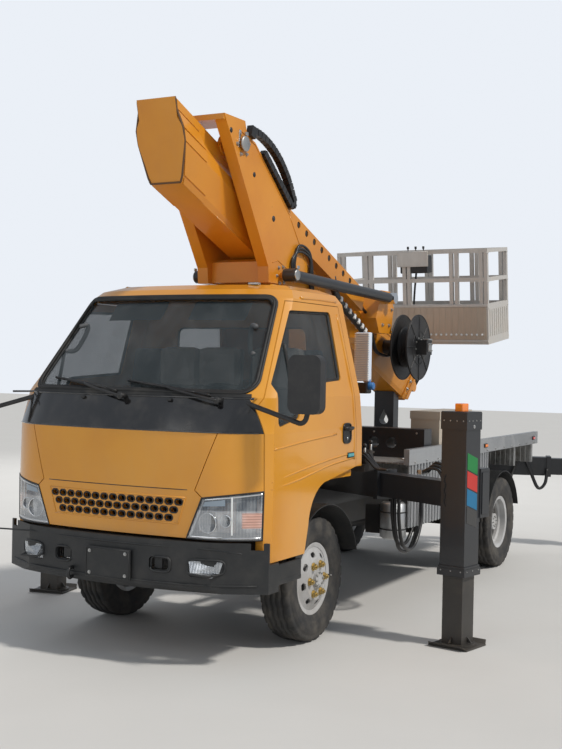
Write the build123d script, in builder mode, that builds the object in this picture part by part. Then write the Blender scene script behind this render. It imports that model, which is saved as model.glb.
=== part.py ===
"""Truck with a telescopic boom and a work basket: millimetres, +Z up, +Y to the rear, +X to its left side."""

import os
from math import cos, pi, radians, sin

from build123d import *

os.makedirs("parts", exist_ok=True)

SIDES = (("left", 1), ("right", -1))

# Overall layout, measured from the front axle
FRONT_REACH = 1085
WHEELBASE = 3360
REAR_LEG_BACK = 4990
FOOT_RADIUS = 115
# Clearances
SEAT_GAP = 0.3
SLIDE_GAP = 0.5
PIN_GAP = 0.05
PANEL_SEAM = 4
RUNNING_GAP = 6

# Wheels
TYRE_RADIUS = 387.5
TYRE_WIDTH = 200
RIM_RADIUS = 210
RIM_WALL = 8
FRONT_TRACK = 1385
REAR_TRACK = 1425
TWIN_SPACING = 225
HUB_RADIUS = 70
DRUM_RADIUS = 160
DRUM_WIDTH = 60
HUB_INNER_X = 660
RIM_HALF = 76
RIM_DISC_OFFSET = 100
HUB_CAP_RADIUS = 50
HUB_CAP_LENGTH = 24
HAND_HOLES = 8
HAND_HOLE_CIRCLE = 154
HAND_HOLE_WIDTH = 50
HAND_HOLE_DEPTH = 32
AXLE_Z = TYRE_RADIUS

# Axles, king pins and springs
KING_PIN_X = 575
KING_PIN_RADIUS = 18
KING_PIN_BOSS = 38
AXLE_BEAM_DEPTH = 80
KNUCKLE_DEPTH = 100
KNUCKLE_THICKNESS = 36
KNUCKLE_HALF_HEIGHT = 68
KNUCKLE_LUG = 26
SPINDLE_RADIUS = 28
FRONT_SPINDLE_END = 735
REAR_AXLE_TUBE_END = 560
REAR_AXLE_END = 800
SPRING_WIDTH = 64
SPRING_HALF = 560
SPRING_HANGER = 40
SPRING_MID_Z = 452
SPRING_DEPTH = 62

# Ladder frame and the frame above it
RAIL_HALF_WIDTH = 350
RAIL_HEIGHT = 160
RAIL_FLANGE = 60
RAIL_WALL = 8
RAIL_TOP = 705
RAIL_FRONT = -880
RAIL_REAR = 4290
SUBFRAME_WIDTH = 90
SUBFRAME_TOP = 855
SUBFRAME_FRONT = 760
SUBFRAME_REAR = 4480

# Outriggers
BEAM_HEIGHT = 156
BEAM_WIDTH = 130
HOUSING_WALL = 10
HOUSING_REACH = 960
HOUSING_ROOT = 85
HOUSING_LIP = 40
BEAM_ROOT = 500
FRONT_LEG_X = 1580
FRONT_LEG_BACK = 380
FRONT_BEAM_ANGLE = 27
FRONT_LEG_TURN = 11
FRONT_BEAM_MID_Z = 931
REAR_LEG_X = 1500
REAR_BEAM_ANGLE = 20
REAR_LEG_TURN = 20
REAR_BEAM_MID_Z = 780
LEG_TUBE = 172
LEG_WALL = 12
LEG_TOP = 1440
LEG_TUBE_BOTTOM = 440
LEG_INNER = 140
LEG_INNER_TOP = 1050
GUARD_DEPTH = 56
GUARD_HEIGHT = 300
FOOT_THICKNESS = 22
GUARD_WIDTH_SHARE = 0.7
REAR_REACH = (
    REAR_LEG_BACK
    + (LEG_TUBE / 2 + GUARD_DEPTH) * cos(radians(REAR_LEG_TURN))
    + GUARD_WIDTH_SHARE * LEG_TUBE / 2 * sin(radians(REAR_LEG_TURN))
)
FRONT_AXLE_Y = FRONT_REACH - (FRONT_REACH + REAR_REACH) / 2

# Cab
CAB_WALL = 34
GLASS_THICKNESS = 5
CAB_REAR = 400
CAB_FLOOR = 1010
CAB_FLOOR_THICKNESS = 40
CORNER_START = 0.62
CORNER_BULGE = 0.62
CAB_CUT = 1000
DOOR_BOTTOM = 606
ARCH_REAR_Z = 1072
FLOOR_HALF_WIDTH = 820
SILL_FRONT = -600
FLOOR_LIP = 40
FLOOR_LIP_HEIGHT = 110
FIREWALL_BACK = -862
FIREWALL_HALF_WIDTH = 700
HEADLAMP_TOP = 1008
PANEL_BOTTOM = 741
GRILLE_PITCH = 62
GRILLE_OPENING_WIDTH = 48
GRILLE_OPENING_HEIGHT = 32
GRILLE_ROWS = ((935, 15), (890, 14), (845, 13))
BAND_BOTTOM = 1324
BAND_TOP = 1522

# Bumper and fog lamps
BUMPER_BOTTOM = 440
BUMPER_TOP = 722
BUMPER_WALL = 26
BUMPER_HALF_WIDTH = 915
BUMPER_CORNER_X = 640
BUMPER_CORNER_REACH = 1010
BUMPER_SIDE_START = -850
BUMPER_REAR = -730
BUMPER_LID_REAR = -900
BUMPER_BRACKET = 170
FOG_LAMP_X = 586
FOG_LAMP_FRONT = -1012
FOG_LAMP_Z = 561
FOG_LAMP_WIDTH = 150
FOG_LAMP_HEIGHT = 66
# middle from the centre line, middle height, width, height
BUMPER_OPENINGS = (
    (FOG_LAMP_X, FOG_LAMP_Z, FOG_LAMP_WIDTH, FOG_LAMP_HEIGHT),
    (-FOG_LAMP_X, FOG_LAMP_Z, FOG_LAMP_WIDTH, FOG_LAMP_HEIGHT),
    (330, 590, 120, 70),
    (-330, 590, 120, 70),
)

# Mirrors, seats and steering wheel
MIRROR_X = 1148
MIRROR_BACK = -925
MIRROR_Z = 1605
MIRROR_WIDTH = 195
MIRROR_HEIGHT = 318
MIRROR_DEPTH = 70
MIRROR_ROOT_X = 735
MIRROR_ROOT_BACK = -840
MIRROR_ROOT_Z = 1496
MIRROR_ARM_RADIUS = 14
WHEEL_X = 430
STEERING_RADIUS = 215
STEERING_COLUMN = 490
DASH_HALF_WIDTH = 745

# Mudguards
GUARD_SHEET = 6
FRONT_GUARD_RADIUS = 462
FRONT_GUARD_INNER = 400
FRONT_GUARD_OUTER = 860
FRONT_GUARD_CUT = 130
FRONT_HANGER_X = 600
REAR_GUARD_RADIUS = 440
REAR_GUARD_CUT = 120
REAR_GUARD_INNER = 480
REAR_GUARD_OUTER = 940

# Deck, side guards, boxes and tail
DECK_TOP = 1045
DECK_SHEET = 12
DECK_HALF_WIDTH = 925
DECK_FRONT = 1070
DECK_REAR = 4300
DECK_BEARERS = (1560, 2200, 2900, 3700, 4250)
DECK_SLOT_HALF = 195
DECK_SLOT_FRONT = 4085
EDGE_RAIL = 40
EDGE_RAIL_BOTTOM = 1030
EDGE_RAIL_HEIGHT = 110
SKIRT_WALL = 12
RIB_PITCH = 60
RIB_WIDTH = 20
RIB_DEPTH = 12
SKIRTS = ((1110, 2860, 590),)
TOOLBOX_X = 800
TOOLBOX_BACK = 2150
TOOLBOX_WIDTH = 230
TOOLBOX_LENGTH = 720
TOOLBOX_HEIGHT = 340
TAIL_BACK = 4380
TAIL_HALF_WIDTH = 600
TAIL_Z = 590
CROSS_BOX_FRONT = 1520
CROSS_BOX_DEPTH = 150
CROSS_BOX_HALF = 900
CROSS_BOX_HEIGHT = 215
CROSS_BOX_OPENINGS = (-640, -500, 500, 640)
CROSS_BOX_OPENING_RADIUS = 42
PEDESTAL_RADIUS = 360
PEDESTAL_BOTTOM = FRONT_BEAM_MID_Z + BEAM_HEIGHT / 2 + HOUSING_WALL + SEAT_GAP

# Boom rest
REST_BACK = 2930
REST_DEPTH = 110
REST_WIDTH = 180
REST_FOOT_WIDTH = 420
REST_FOOT_HEIGHT = 90
REST_GAP = 5
REST_HOLE = 42
REST_HOLE_Z = 1260

# Boom: the line of its top edge, its pivot and its section
BOOM_ANGLE = 20.5
BOOM_TOP_BACK = -700
BOOM_TOP_Z = 3290
BOOM_BOTTOM_BACK = -570
BOOM_HEIGHT = 414
BOOM_HALF_TOP = 137
BOOM_HALF_WIDEST = 168
BOOM_HALF_BOTTOM = 118
BOOM_SHOULDER = 98
BOOM_CHAMFER = 50
BOOM_BAND = 64
BOOM_WALL = 9
BOOM_TAIL = -700
BOOM_HEAD = 3560
HEAD_COLLAR = 60
COLLAR_STEP = 8
SECTION_STEP = 21
PIVOT_BACK = -120
PIVOT_Z = 3100
PIVOT_PIN_RADIUS = 30
PIVOT_PIN_HALF = 290
EAR_OUTER = 150
EAR_THICKNESS = 24
EAR_RADIUS = 66
EAR_FOOT = ((-70, 200), (70, 200), (55, 260), (-55, 260))
# number, start and end along the boom
BOOM_SECTIONS = ((2, -285, 3621), (3, -245, 3682), (4, -205, 3743))
TIP_ALONG = 3815
TIP_EAR_OUTER = 84
TIP_EAR_RADIUS = 48
TIP_PIN_RADIUS = 22

# Chain tray, energy chain and cable reel on the boom's left side
TRAY_INNER = BOOM_HALF_WIDEST - 3
TRAY_OUTER = 248
TRAY_SHEET = 5
TRAY_LOW = 20
TRAY_HIGH = 182
TRAY_START = 714
TRAY_END = 2150
TRAY_HOLES = 9
TRAY_FIRST_HOLE = 929
TRAY_HOLE_PITCH = 132
TRAY_HOLE_ABOVE = 140
TRAY_HOLE_RADIUS = 24
LINK_PITCH = 46
LINK_LENGTH = 34
CHAIN_HEIGHT = 60
REEL_ALONG = 2859
REEL_ABOVE = 0
# start from the boom's side, length, radius
REEL_PARTS = ((0, 164, 60), (160, 6, 268), (166, 130, 150), (296, 6, 268))
REEL_BOX_START = 302
REEL_BOX_LENGTH = 90
REEL_BOX = 120

# Luffing cylinders
LUFF_X = 350
LUFF_BASE_BACK = 420
LUFF_BASE_Z = 2315
LUFF_END_BACK = 2150
LUFF_END_Z = 2265
LUFF_PIN_RADIUS = 22
LUFF_EYE_RADIUS = 44
LUFF_EYE_INNER = 306
LUFF_EYE_OUTER = 394
LUFF_BRACKET_OUTER = 305
LUFF_BRACKET = ((2070, 2325), (2235, 2325), (2320, 2200), (2270, 1985), (2030, 1985), (1960, 2100))
BARREL_RADIUS = 40
PISTON_RADIUS = 33
PISTON_LENGTH = 40
ROD_RADIUS = 22
ROD_ROOT = 130
ROD_EYE_ROOM = 58
GLAND_LENGTH = 50

# Turret and slewing
SLEW_BACK = 1050
RING_RADIUS = 400
RING_TOP = 1300
BASE_PLATE = 30
PORTAL_INNER = 195
PORTAL_OUTER = 275
PLATE_THICKNESS = 20
# outlines in side view: distance behind the front axle, height
PORTAL_ARM = ((-355, 3250), (-98, 3250), (-25, 3030), (565, 2472), (640, 2255), (250, 2255), (240, 2360))
SIDE_PLATE = (
    (-170, 3200),
    (40, 3135),
    (533, 2747),
    (760, 2480),
    (1180, 2110),
    (1440, 1750),
    (1440, 1330),
    (660, 1330),
    (560, 1700),
    (530, 2255),
    (250, 2255),
    (240, 2360),
)
FOOT_BEAM = ((300, 2262), (300, 2400), (380, 2425), (590, 2350), (640, 2262))
# front, rear, bottom, top
TURRET_MEMBERS = ((-355, -120, 3215, 3250), (600, 625, 1325, 2262), (1300, 1325, 1325, 1700))

# Energy chain of the portal: it rises from an anchor, loops back and lies along the side plate's edge
PORTAL_CHAIN_X = 277
PORTAL_CHAIN_HALF = 22
PORTAL_CHAIN_PITCH = 50
PORTAL_CHAIN_CREST = (250, 3138)
# along the side plate's first edge, and over it
PORTAL_CHAIN_ANCHOR = 118
PORTAL_CHAIN_ANCHOR_LENGTH = 56
PORTAL_CHAIN_ANCHOR_HEIGHT = 72
# from the side plate's corner: distance along its edge, height over the edge
PORTAL_CHAIN_BEND = ((573, 96), (612, 66), (573, 33), (105, 22.3))

# Levelling head and basket
POST_BACK = 3432
POST_RADIUS = 45
POST_DROP = 330
BASKET_TILT = 7
BASKET_FLOOR_Z = 1925
BASKET_BRACKET = 24
BASKET_FRONT = 70
BASKET_WIDTH = 1460
BASKET_DEPTH = 600
BASKET_FLOOR = 26
BASKET_HEIGHT = 850
BASKET_TUBE = 34
BASKET_POSTS = (-713, -670, -440, -390, -60, -15, 390, 440, 670, 713)
# low edge, high edge, thickness
BASKET_RINGS = ((26, 330, 10), (326, 360, 34), (560, 594, 34), (816, 850, 34))


def aft(distance):
    """Row position of a place that lies this far behind the front axle."""
    return FRONT_AXLE_Y + distance


BOOM_COS = cos(radians(BOOM_ANGLE))
BOOM_SIN = sin(radians(BOOM_ANGLE))


def tube(outer, wall):
    """Closed ring sketch of a square tube, for use inside a sketch block."""
    Rectangle(outer, outer)
    Rectangle(outer - 2 * wall, outer - 2 * wall, mode=Mode.SUBTRACT)


def boom_top_z(back):
    """Height of the boom's top edge, in its stowed place, behind the front axle."""
    return BOOM_TOP_Z - (back - BOOM_TOP_BACK) * BOOM_SIN / BOOM_COS


def boom_bottom_z(back):
    """Height of the boom's bottom edge, in its stowed place, behind the front axle."""
    return boom_top_z(back) - BOOM_HEIGHT / BOOM_COS


def on_boom(along, above):
    """Row place, in side view, of a point along the boom from its pivot and above its axis."""
    pivot_above = (PIVOT_Z - boom_top_z(PIVOT_BACK)) * BOOM_COS + BOOM_HEIGHT / 2
    side_y = aft(PIVOT_BACK) + along * BOOM_COS + (above - pivot_above) * BOOM_SIN
    side_z = PIVOT_Z - along * BOOM_SIN + (above - pivot_above) * BOOM_COS
    return side_y, side_z


def save(piece, name):
    """Label one finished piece and write it as its own file."""
    piece.label = name
    export_step(piece, f"parts/{name}.step")


# Chassis frame: two channel rails joined by cross members, with the tail bar and its lamp clusters
with BuildPart() as chassis_frame:
    with BuildSketch(Plane.XZ.offset(-aft(RAIL_FRONT))) as rail_section:
        for side in (1, -1):
            with Locations((side * (RAIL_HALF_WIDTH - RAIL_FLANGE / 2), RAIL_TOP - RAIL_HEIGHT / 2)):
                Rectangle(RAIL_FLANGE, RAIL_HEIGHT)
            with Locations((side * (RAIL_HALF_WIDTH - RAIL_FLANGE / 2 - RAIL_WALL), RAIL_TOP - RAIL_HEIGHT / 2)):
                Rectangle(RAIL_FLANGE, RAIL_HEIGHT - 2 * RAIL_WALL, mode=Mode.SUBTRACT)
    extrude(amount=-(RAIL_REAR - RAIL_FRONT))
    # back from the front axle, height of the member
    for back, height in ((-820, 90), (-330, 90), (860, 110), (1900, 110), (2760, 110), (3900, 110), (4250, 120)):
        with Locations((0, aft(back), RAIL_TOP - RAIL_HEIGHT / 2)):
            Box(2 * (RAIL_HALF_WIDTH - RAIL_WALL), 60, height)
            Box(2 * (RAIL_HALF_WIDTH - RAIL_WALL), 60 - 2 * RAIL_WALL, height - 2 * RAIL_WALL, mode=Mode.SUBTRACT)
    with Locations((0, aft(TAIL_BACK), TAIL_Z)):
        Box(2 * TAIL_HALF_WIDTH, 40, 110)
    for side in (1, -1):
        with Locations((side * (TAIL_HALF_WIDTH - 150), aft(TAIL_BACK + 20), TAIL_Z)):
            Box(280, 36, 90, align=(Align.CENTER, Align.MIN, Align.CENTER))
        with Locations((side * (RAIL_HALF_WIDTH - 20), aft(RAIL_REAR - 40), TAIL_Z)):
            Box(60, TAIL_BACK - RAIL_REAR + 40, 90, align=(Align.CENTER, Align.MIN, Align.CENTER))
save(chassis_frame.part, "chassis_frame")

# Outriggers, one row per pair:
# name, leg from the middle, leg behind the front axle, beam angle toward the rear, leg turn, beam middle height
OUTRIGGERS = (
    ("front", FRONT_LEG_X, FRONT_LEG_BACK, -FRONT_BEAM_ANGLE, -FRONT_LEG_TURN, FRONT_BEAM_MID_Z),
    ("rear", REAR_LEG_X, REAR_LEG_BACK, REAR_BEAM_ANGLE, REAR_LEG_TURN, REAR_BEAM_MID_Z),
)


def beam_plane(side, leg_x, leg_back, angle, middle_z):
    """Plane across an outrigger beam at its leg, facing outward along the beam."""
    outward = (side * cos(radians(angle)), sin(radians(angle)), 0)
    across = (-outward[1], outward[0], 0)
    return Plane(origin=(side * leg_x, aft(leg_back), middle_z), x_dir=across, z_dir=outward)


def leg_plane(side, leg_x, leg_back, turn, height):
    """Level plane on a leg's middle, turned with the leg."""
    forward = (side * cos(radians(turn)), sin(radians(turn)), 0)
    return Plane(origin=(side * leg_x, aft(leg_back), height), x_dir=forward, z_dir=(0, 0, 1))


# Outrigger subframe: two box beams that carry the four sloping housings
with BuildPart() as outrigger_subframe:
    for side in (1, -1):
        with Locations((side * (RAIL_HALF_WIDTH - SUBFRAME_WIDTH / 2), aft(SUBFRAME_FRONT), RAIL_TOP)):
            Box(
                SUBFRAME_WIDTH,
                SUBFRAME_REAR - SUBFRAME_FRONT,
                SUBFRAME_TOP - RAIL_TOP,
                align=(Align.CENTER, Align.MIN, Align.MIN),
            )
    for back in (1750, 2450, 3150, 3800):
        with Locations((0, aft(back), (RAIL_TOP + SUBFRAME_TOP) / 2)):
            Box(2 * RAIL_HALF_WIDTH - SUBFRAME_WIDTH, 80, SUBFRAME_TOP - RAIL_TOP - 30)
    for pair, leg_x, leg_back, angle, turn, middle_z in OUTRIGGERS:
        inner_end = (leg_x - HOUSING_ROOT) / cos(radians(angle))
        outer_end = (leg_x - HOUSING_REACH) / cos(radians(angle))
        for side in (1, -1):
            across = beam_plane(side, leg_x, leg_back, angle, middle_z)
            with BuildSketch(across.offset(-inner_end)):
                Rectangle(BEAM_WIDTH + 2 * HOUSING_WALL, BEAM_HEIGHT + 2 * HOUSING_WALL)
            extrude(amount=inner_end - outer_end)
            with BuildSketch(across.offset(-outer_end)):
                Rectangle(BEAM_WIDTH + 4 * HOUSING_WALL, BEAM_HEIGHT + 4 * HOUSING_WALL)
            extrude(amount=-HOUSING_LIP)
    for pair, leg_x, leg_back, angle, turn, middle_z in OUTRIGGERS:
        inner_end = (leg_x - HOUSING_ROOT) / cos(radians(angle))
        outer_end = (leg_x - HOUSING_REACH) / cos(radians(angle))
        for side in (1, -1):
            across = beam_plane(side, leg_x, leg_back, angle, middle_z)
            with BuildSketch(across.offset(-inner_end + HOUSING_WALL)):
                Rectangle(BEAM_WIDTH + 2 * SLIDE_GAP, BEAM_HEIGHT + 2 * SLIDE_GAP)
            extrude(amount=inner_end - outer_end, mode=Mode.SUBTRACT)
save(outrigger_subframe.part, "outrigger_subframe")

# Outrigger beams, each with its upright leg tube, and the inner legs with their feet
for pair, leg_x, leg_back, angle, turn, middle_z in OUTRIGGERS:
    for name, side in SIDES:
        across = beam_plane(side, leg_x, leg_back, angle, middle_z)
        beam_length = (leg_x - BEAM_ROOT) / cos(radians(angle))
        with BuildPart() as beam:
            with BuildSketch(across.offset(-beam_length)):
                Rectangle(BEAM_WIDTH, BEAM_HEIGHT)
            extrude(amount=beam_length)
            with BuildSketch(across.offset(-beam_length)):
                Rectangle(BEAM_WIDTH - 2 * HOUSING_WALL, BEAM_HEIGHT - 2 * HOUSING_WALL)
            extrude(amount=beam_length - LEG_TUBE, mode=Mode.SUBTRACT)
            with BuildSketch(leg_plane(side, leg_x, leg_back, turn, LEG_TUBE_BOTTOM)):
                Rectangle(LEG_TUBE, LEG_TUBE)
            extrude(amount=LEG_TOP - LEG_TUBE_BOTTOM)
            # collar at the foot end of the tube and bolted cap at its top: height, width, thickness
            for height, width, thickness in (
                (LEG_TUBE_BOTTOM, LEG_TUBE + 22, 46),
                (LEG_TOP - 105, LEG_TUBE + 12, 105),
            ):
                with BuildSketch(leg_plane(side, leg_x, leg_back, turn, height)):
                    Rectangle(width, width)
                extrude(amount=thickness)
            with BuildSketch(leg_plane(side, leg_x, leg_back, turn, middle_z - 175)):
                with Locations((0, side * (LEG_TUBE + GUARD_DEPTH) / 2)):
                    Rectangle(GUARD_WIDTH_SHARE * LEG_TUBE, GUARD_DEPTH)
            extrude(amount=GUARD_HEIGHT)
            with BuildSketch(leg_plane(side, leg_x, leg_back, turn, LEG_TUBE_BOTTOM)):
                Rectangle(LEG_INNER + 2 * SLIDE_GAP, LEG_INNER + 2 * SLIDE_GAP)
            extrude(amount=LEG_TOP - LEG_TUBE_BOTTOM - LEG_WALL, mode=Mode.SUBTRACT)
        save(beam.part, f"{pair}_{name}_outrigger_beam")

        with BuildPart() as leg:
            with BuildSketch(leg_plane(side, leg_x, leg_back, turn, 0)):
                Circle(FOOT_RADIUS)
            extrude(amount=FOOT_THICKNESS)
            with BuildSketch(leg_plane(side, leg_x, leg_back, turn, FOOT_THICKNESS)):
                tube(LEG_INNER, LEG_WALL)
            extrude(amount=LEG_INNER_TOP - FOOT_THICKNESS)
        save(leg.part, f"{pair}_{name}_leg")

# Engine, fuel tank and propeller shaft
with BuildPart() as engine_block:
    with Locations((0, aft(120), 690)):
        Box(440, 760, 440)
save(engine_block.part, "engine_block")

with BuildPart() as fuel_tank:
    with BuildSketch(Plane.XZ.offset(-aft(1330))):
        with Locations((-(RAIL_HALF_WIDTH + SEAT_GAP + 190), 640)):
            RectangleRounded(380, 400, 60)
    extrude(amount=-620)
save(fuel_tank.part, "fuel_tank")

with BuildPart() as propeller_shaft:
    with BuildSketch(Plane.XZ.offset(-aft(500 + SEAT_GAP))):
        with Locations((0, AXLE_Z + 130)):
            Circle(38)
    with BuildSketch(Plane.XZ.offset(-aft(WHEELBASE - 165 - SEAT_GAP))):
        with Locations((0, AXLE_Z)):
            Circle(38)
    loft(ruled=True)
save(propeller_shaft.part, "propeller_shaft")


def add_leaf_spring(side, axle_back, seat_z):
    """Add one leaf spring with its hangers and its pad on the axle to the open part."""
    spring_x = side * (RAIL_HALF_WIDTH - RAIL_FLANGE / 2)
    axle_y = aft(axle_back)
    eye_z = RAIL_TOP - RAIL_HEIGHT - SEAT_GAP - SPRING_HANGER
    with BuildSketch(Plane.YZ.offset(spring_x - SPRING_WIDTH / 2)) as leaves:
        with BuildLine():
            ThreePointArc(
                (axle_y - SPRING_HALF, eye_z),
                (axle_y, SPRING_MID_Z),
                (axle_y + SPRING_HALF, eye_z),
            )
            Line((axle_y + SPRING_HALF, eye_z), (axle_y + SPRING_HALF, eye_z - 16))
            ThreePointArc(
                (axle_y + SPRING_HALF, eye_z - 16),
                (axle_y, SPRING_MID_Z - SPRING_DEPTH),
                (axle_y - SPRING_HALF, eye_z - 16),
            )
            Line((axle_y - SPRING_HALF, eye_z - 16), (axle_y - SPRING_HALF, eye_z))
        make_face()
    extrude(leaves.sketch, amount=SPRING_WIDTH)
    for end in (-1, 1):
        with Locations((spring_x, axle_y + end * (SPRING_HALF - 25), eye_z - 16)):
            Box(
                RAIL_FLANGE - RAIL_WALL,
                50,
                SPRING_HANGER + 16,
                align=(Align.CENTER, Align.CENTER, Align.MIN),
            )
    with Locations((spring_x, axle_y, seat_z)):
        Box(
            SPRING_WIDTH + 20,
            110,
            SPRING_MID_Z + 12 - seat_z,
            align=(Align.CENTER, Align.CENTER, Align.MIN),
        )


# Front axle: drop beam between the king pins, with its leaf springs
with BuildPart() as front_axle:
    with BuildSketch(Plane.XZ.offset(-aft(-AXLE_BEAM_DEPTH / 2))):
        with BuildLine():
            Polyline(
                (-KING_PIN_X, AXLE_Z - 45),
                (-KING_PIN_X + 100, AXLE_Z - 45),
                (-KING_PIN_X + 160, AXLE_Z - 120),
                (KING_PIN_X - 160, AXLE_Z - 120),
                (KING_PIN_X - 100, AXLE_Z - 45),
                (KING_PIN_X, AXLE_Z - 45),
                (KING_PIN_X, AXLE_Z + 35),
                (KING_PIN_X - 130, AXLE_Z + 35),
                (KING_PIN_X - 190, AXLE_Z - 45),
                (-KING_PIN_X + 190, AXLE_Z - 45),
                (-KING_PIN_X + 130, AXLE_Z + 35),
                (-KING_PIN_X, AXLE_Z + 35),
                close=True,
            )
        make_face()
    extrude(amount=-AXLE_BEAM_DEPTH)
    for side in (1, -1):
        with Locations((side * KING_PIN_X, aft(0), AXLE_Z - 5)):
            Cylinder(KING_PIN_BOSS, 80)
            Cylinder(KING_PIN_RADIUS + PIN_GAP, 80, mode=Mode.SUBTRACT)
        add_leaf_spring(side, 0, AXLE_Z - 60)
save(front_axle.part, "front_axle")

# Rear axle: tube and differential housing, with its leaf springs
with BuildPart() as rear_axle:
    with BuildSketch(Plane(origin=(0, aft(WHEELBASE), AXLE_Z), x_dir=(1, 0, 0), z_dir=(0, -1, 0))):
        with BuildLine():
            Polyline(
                (-REAR_AXLE_END, 0),
                (-REAR_AXLE_END, SPINDLE_RADIUS),
                (-REAR_AXLE_TUBE_END, SPINDLE_RADIUS),
                (-REAR_AXLE_TUBE_END, 62),
                (-170, 62),
                (-95, 165),
                (95, 165),
                (170, 62),
                (REAR_AXLE_TUBE_END, 62),
                (REAR_AXLE_TUBE_END, SPINDLE_RADIUS),
                (REAR_AXLE_END, SPINDLE_RADIUS),
                (REAR_AXLE_END, 0),
                close=True,
            )
        make_face()
    revolve(axis=Axis((0, aft(WHEELBASE), AXLE_Z), (1, 0, 0)))
    for side in (1, -1):
        add_leaf_spring(side, WHEELBASE, AXLE_Z + 30)
save(rear_axle.part, "rear_axle")

# Steering knuckles: forked upright on the king pin, with the spindle for the wheel
for name, side in SIDES:
    with BuildPart() as knuckle:
        with BuildSketch(Plane.XZ.offset(-aft(-KNUCKLE_DEPTH / 2))):
            with Locations((side * (KING_PIN_X + KNUCKLE_THICKNESS / 2 + KING_PIN_BOSS + RUNNING_GAP), AXLE_Z - 5)):
                Rectangle(KNUCKLE_THICKNESS, 2 * KNUCKLE_HALF_HEIGHT)
            for level in (-1, 1):
                fork_z = AXLE_Z - 5 + level * (40 + SEAT_GAP + KNUCKLE_LUG / 2)
                with Locations((side * (KING_PIN_X + 35), fork_z)):
                    Rectangle(2 * 35 + 30, KNUCKLE_LUG)
        extrude(amount=-KNUCKLE_DEPTH)
        with Locations((side * KING_PIN_X, aft(0), AXLE_Z - 5)):
            Cylinder(KING_PIN_RADIUS, 2 * (40 + SEAT_GAP + KNUCKLE_LUG))
            Cylinder(45, 2 * (40 + SEAT_GAP + KNUCKLE_LUG))
            Cylinder(45 + 1, 2 * (40 + SEAT_GAP), mode=Mode.SUBTRACT)
            Cylinder(KING_PIN_RADIUS, 2 * (40 + SEAT_GAP + KNUCKLE_LUG))
        with BuildSketch(Plane.YZ.offset(side * (KING_PIN_X + 60))):
            with Locations((aft(0), AXLE_Z)):
                Circle(SPINDLE_RADIUS)
        extrude(amount=side * (FRONT_SPINDLE_END - KING_PIN_X - 60))
    save(knuckle.part, f"steering_knuckle_{name}")

# Wheels: pressed steel discs with hand holes on a hub, and tyres
def wheel_plane(centre_x, back):
    """Plane on a wheel's middle whose first axis is the wheel's axis and second is up."""
    return Plane(origin=(centre_x, aft(back), AXLE_Z), x_dir=(1, 0, 0), z_dir=(0, -1, 0))


def add_rim(centre_x, back, face):
    """Add one rim to the open part; its disc is dished toward the side given by face."""
    disc = face * RIM_DISC_OFFSET
    with BuildSketch(wheel_plane(centre_x, back)) as rim_section:
        with BuildLine():
            Polyline(
                (-RIM_HALF, RIM_RADIUS + 14),
                (-RIM_HALF + 8, RIM_RADIUS + 14),
                (-RIM_HALF + 14, RIM_RADIUS - 6),
                (-RIM_HALF + 45, RIM_RADIUS - 8),
                (-RIM_HALF + 60, RIM_RADIUS - 24),
                (RIM_HALF - 60, RIM_RADIUS - 24),
                (RIM_HALF - 45, RIM_RADIUS - 8),
                (RIM_HALF - 14, RIM_RADIUS - 6),
                (RIM_HALF - 8, RIM_RADIUS + 14),
                (RIM_HALF, RIM_RADIUS + 14),
                (RIM_HALF, RIM_RADIUS + 8),
                (RIM_HALF - 6, RIM_RADIUS - 14),
                (RIM_HALF - 50, RIM_RADIUS - 18),
                (RIM_HALF - 64, RIM_RADIUS - 34),
                (-RIM_HALF + 64, RIM_RADIUS - 34),
                (-RIM_HALF + 50, RIM_RADIUS - 18),
                (-RIM_HALF + 6, RIM_RADIUS - 14),
                (-RIM_HALF, RIM_RADIUS + 8),
                close=True,
            )
        make_face()
    revolve(rim_section.sketch, axis=Axis((centre_x, aft(back), AXLE_Z), (1, 0, 0)))
    with BuildSketch(wheel_plane(centre_x, back)) as disc_section:
        with BuildLine():
            Polyline(
                (disc, SPINDLE_RADIUS + RUNNING_GAP),
                (disc, 128),
                (disc - face * 36, RIM_RADIUS - 10),
                (disc - face * (36 + RIM_WALL), RIM_RADIUS - 10),
                (disc - face * RIM_WALL, 122),
                (disc - face * RIM_WALL, SPINDLE_RADIUS + RUNNING_GAP),
                close=True,
            )
        make_face()
    revolve(disc_section.sketch, axis=Axis((centre_x, aft(back), AXLE_Z), (1, 0, 0)))
    with BuildSketch(Plane.YZ.offset(centre_x - 2 * RIM_HALF)) as openings:
        with Locations((aft(back), AXLE_Z)):
            with PolarLocations(HAND_HOLE_CIRCLE, HAND_HOLES, start_angle=90 / HAND_HOLES):
                SlotOverall(HAND_HOLE_WIDTH, HAND_HOLE_DEPTH, rotation=90)
    extrude(openings.sketch, amount=4 * RIM_HALF, mode=Mode.SUBTRACT)


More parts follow.
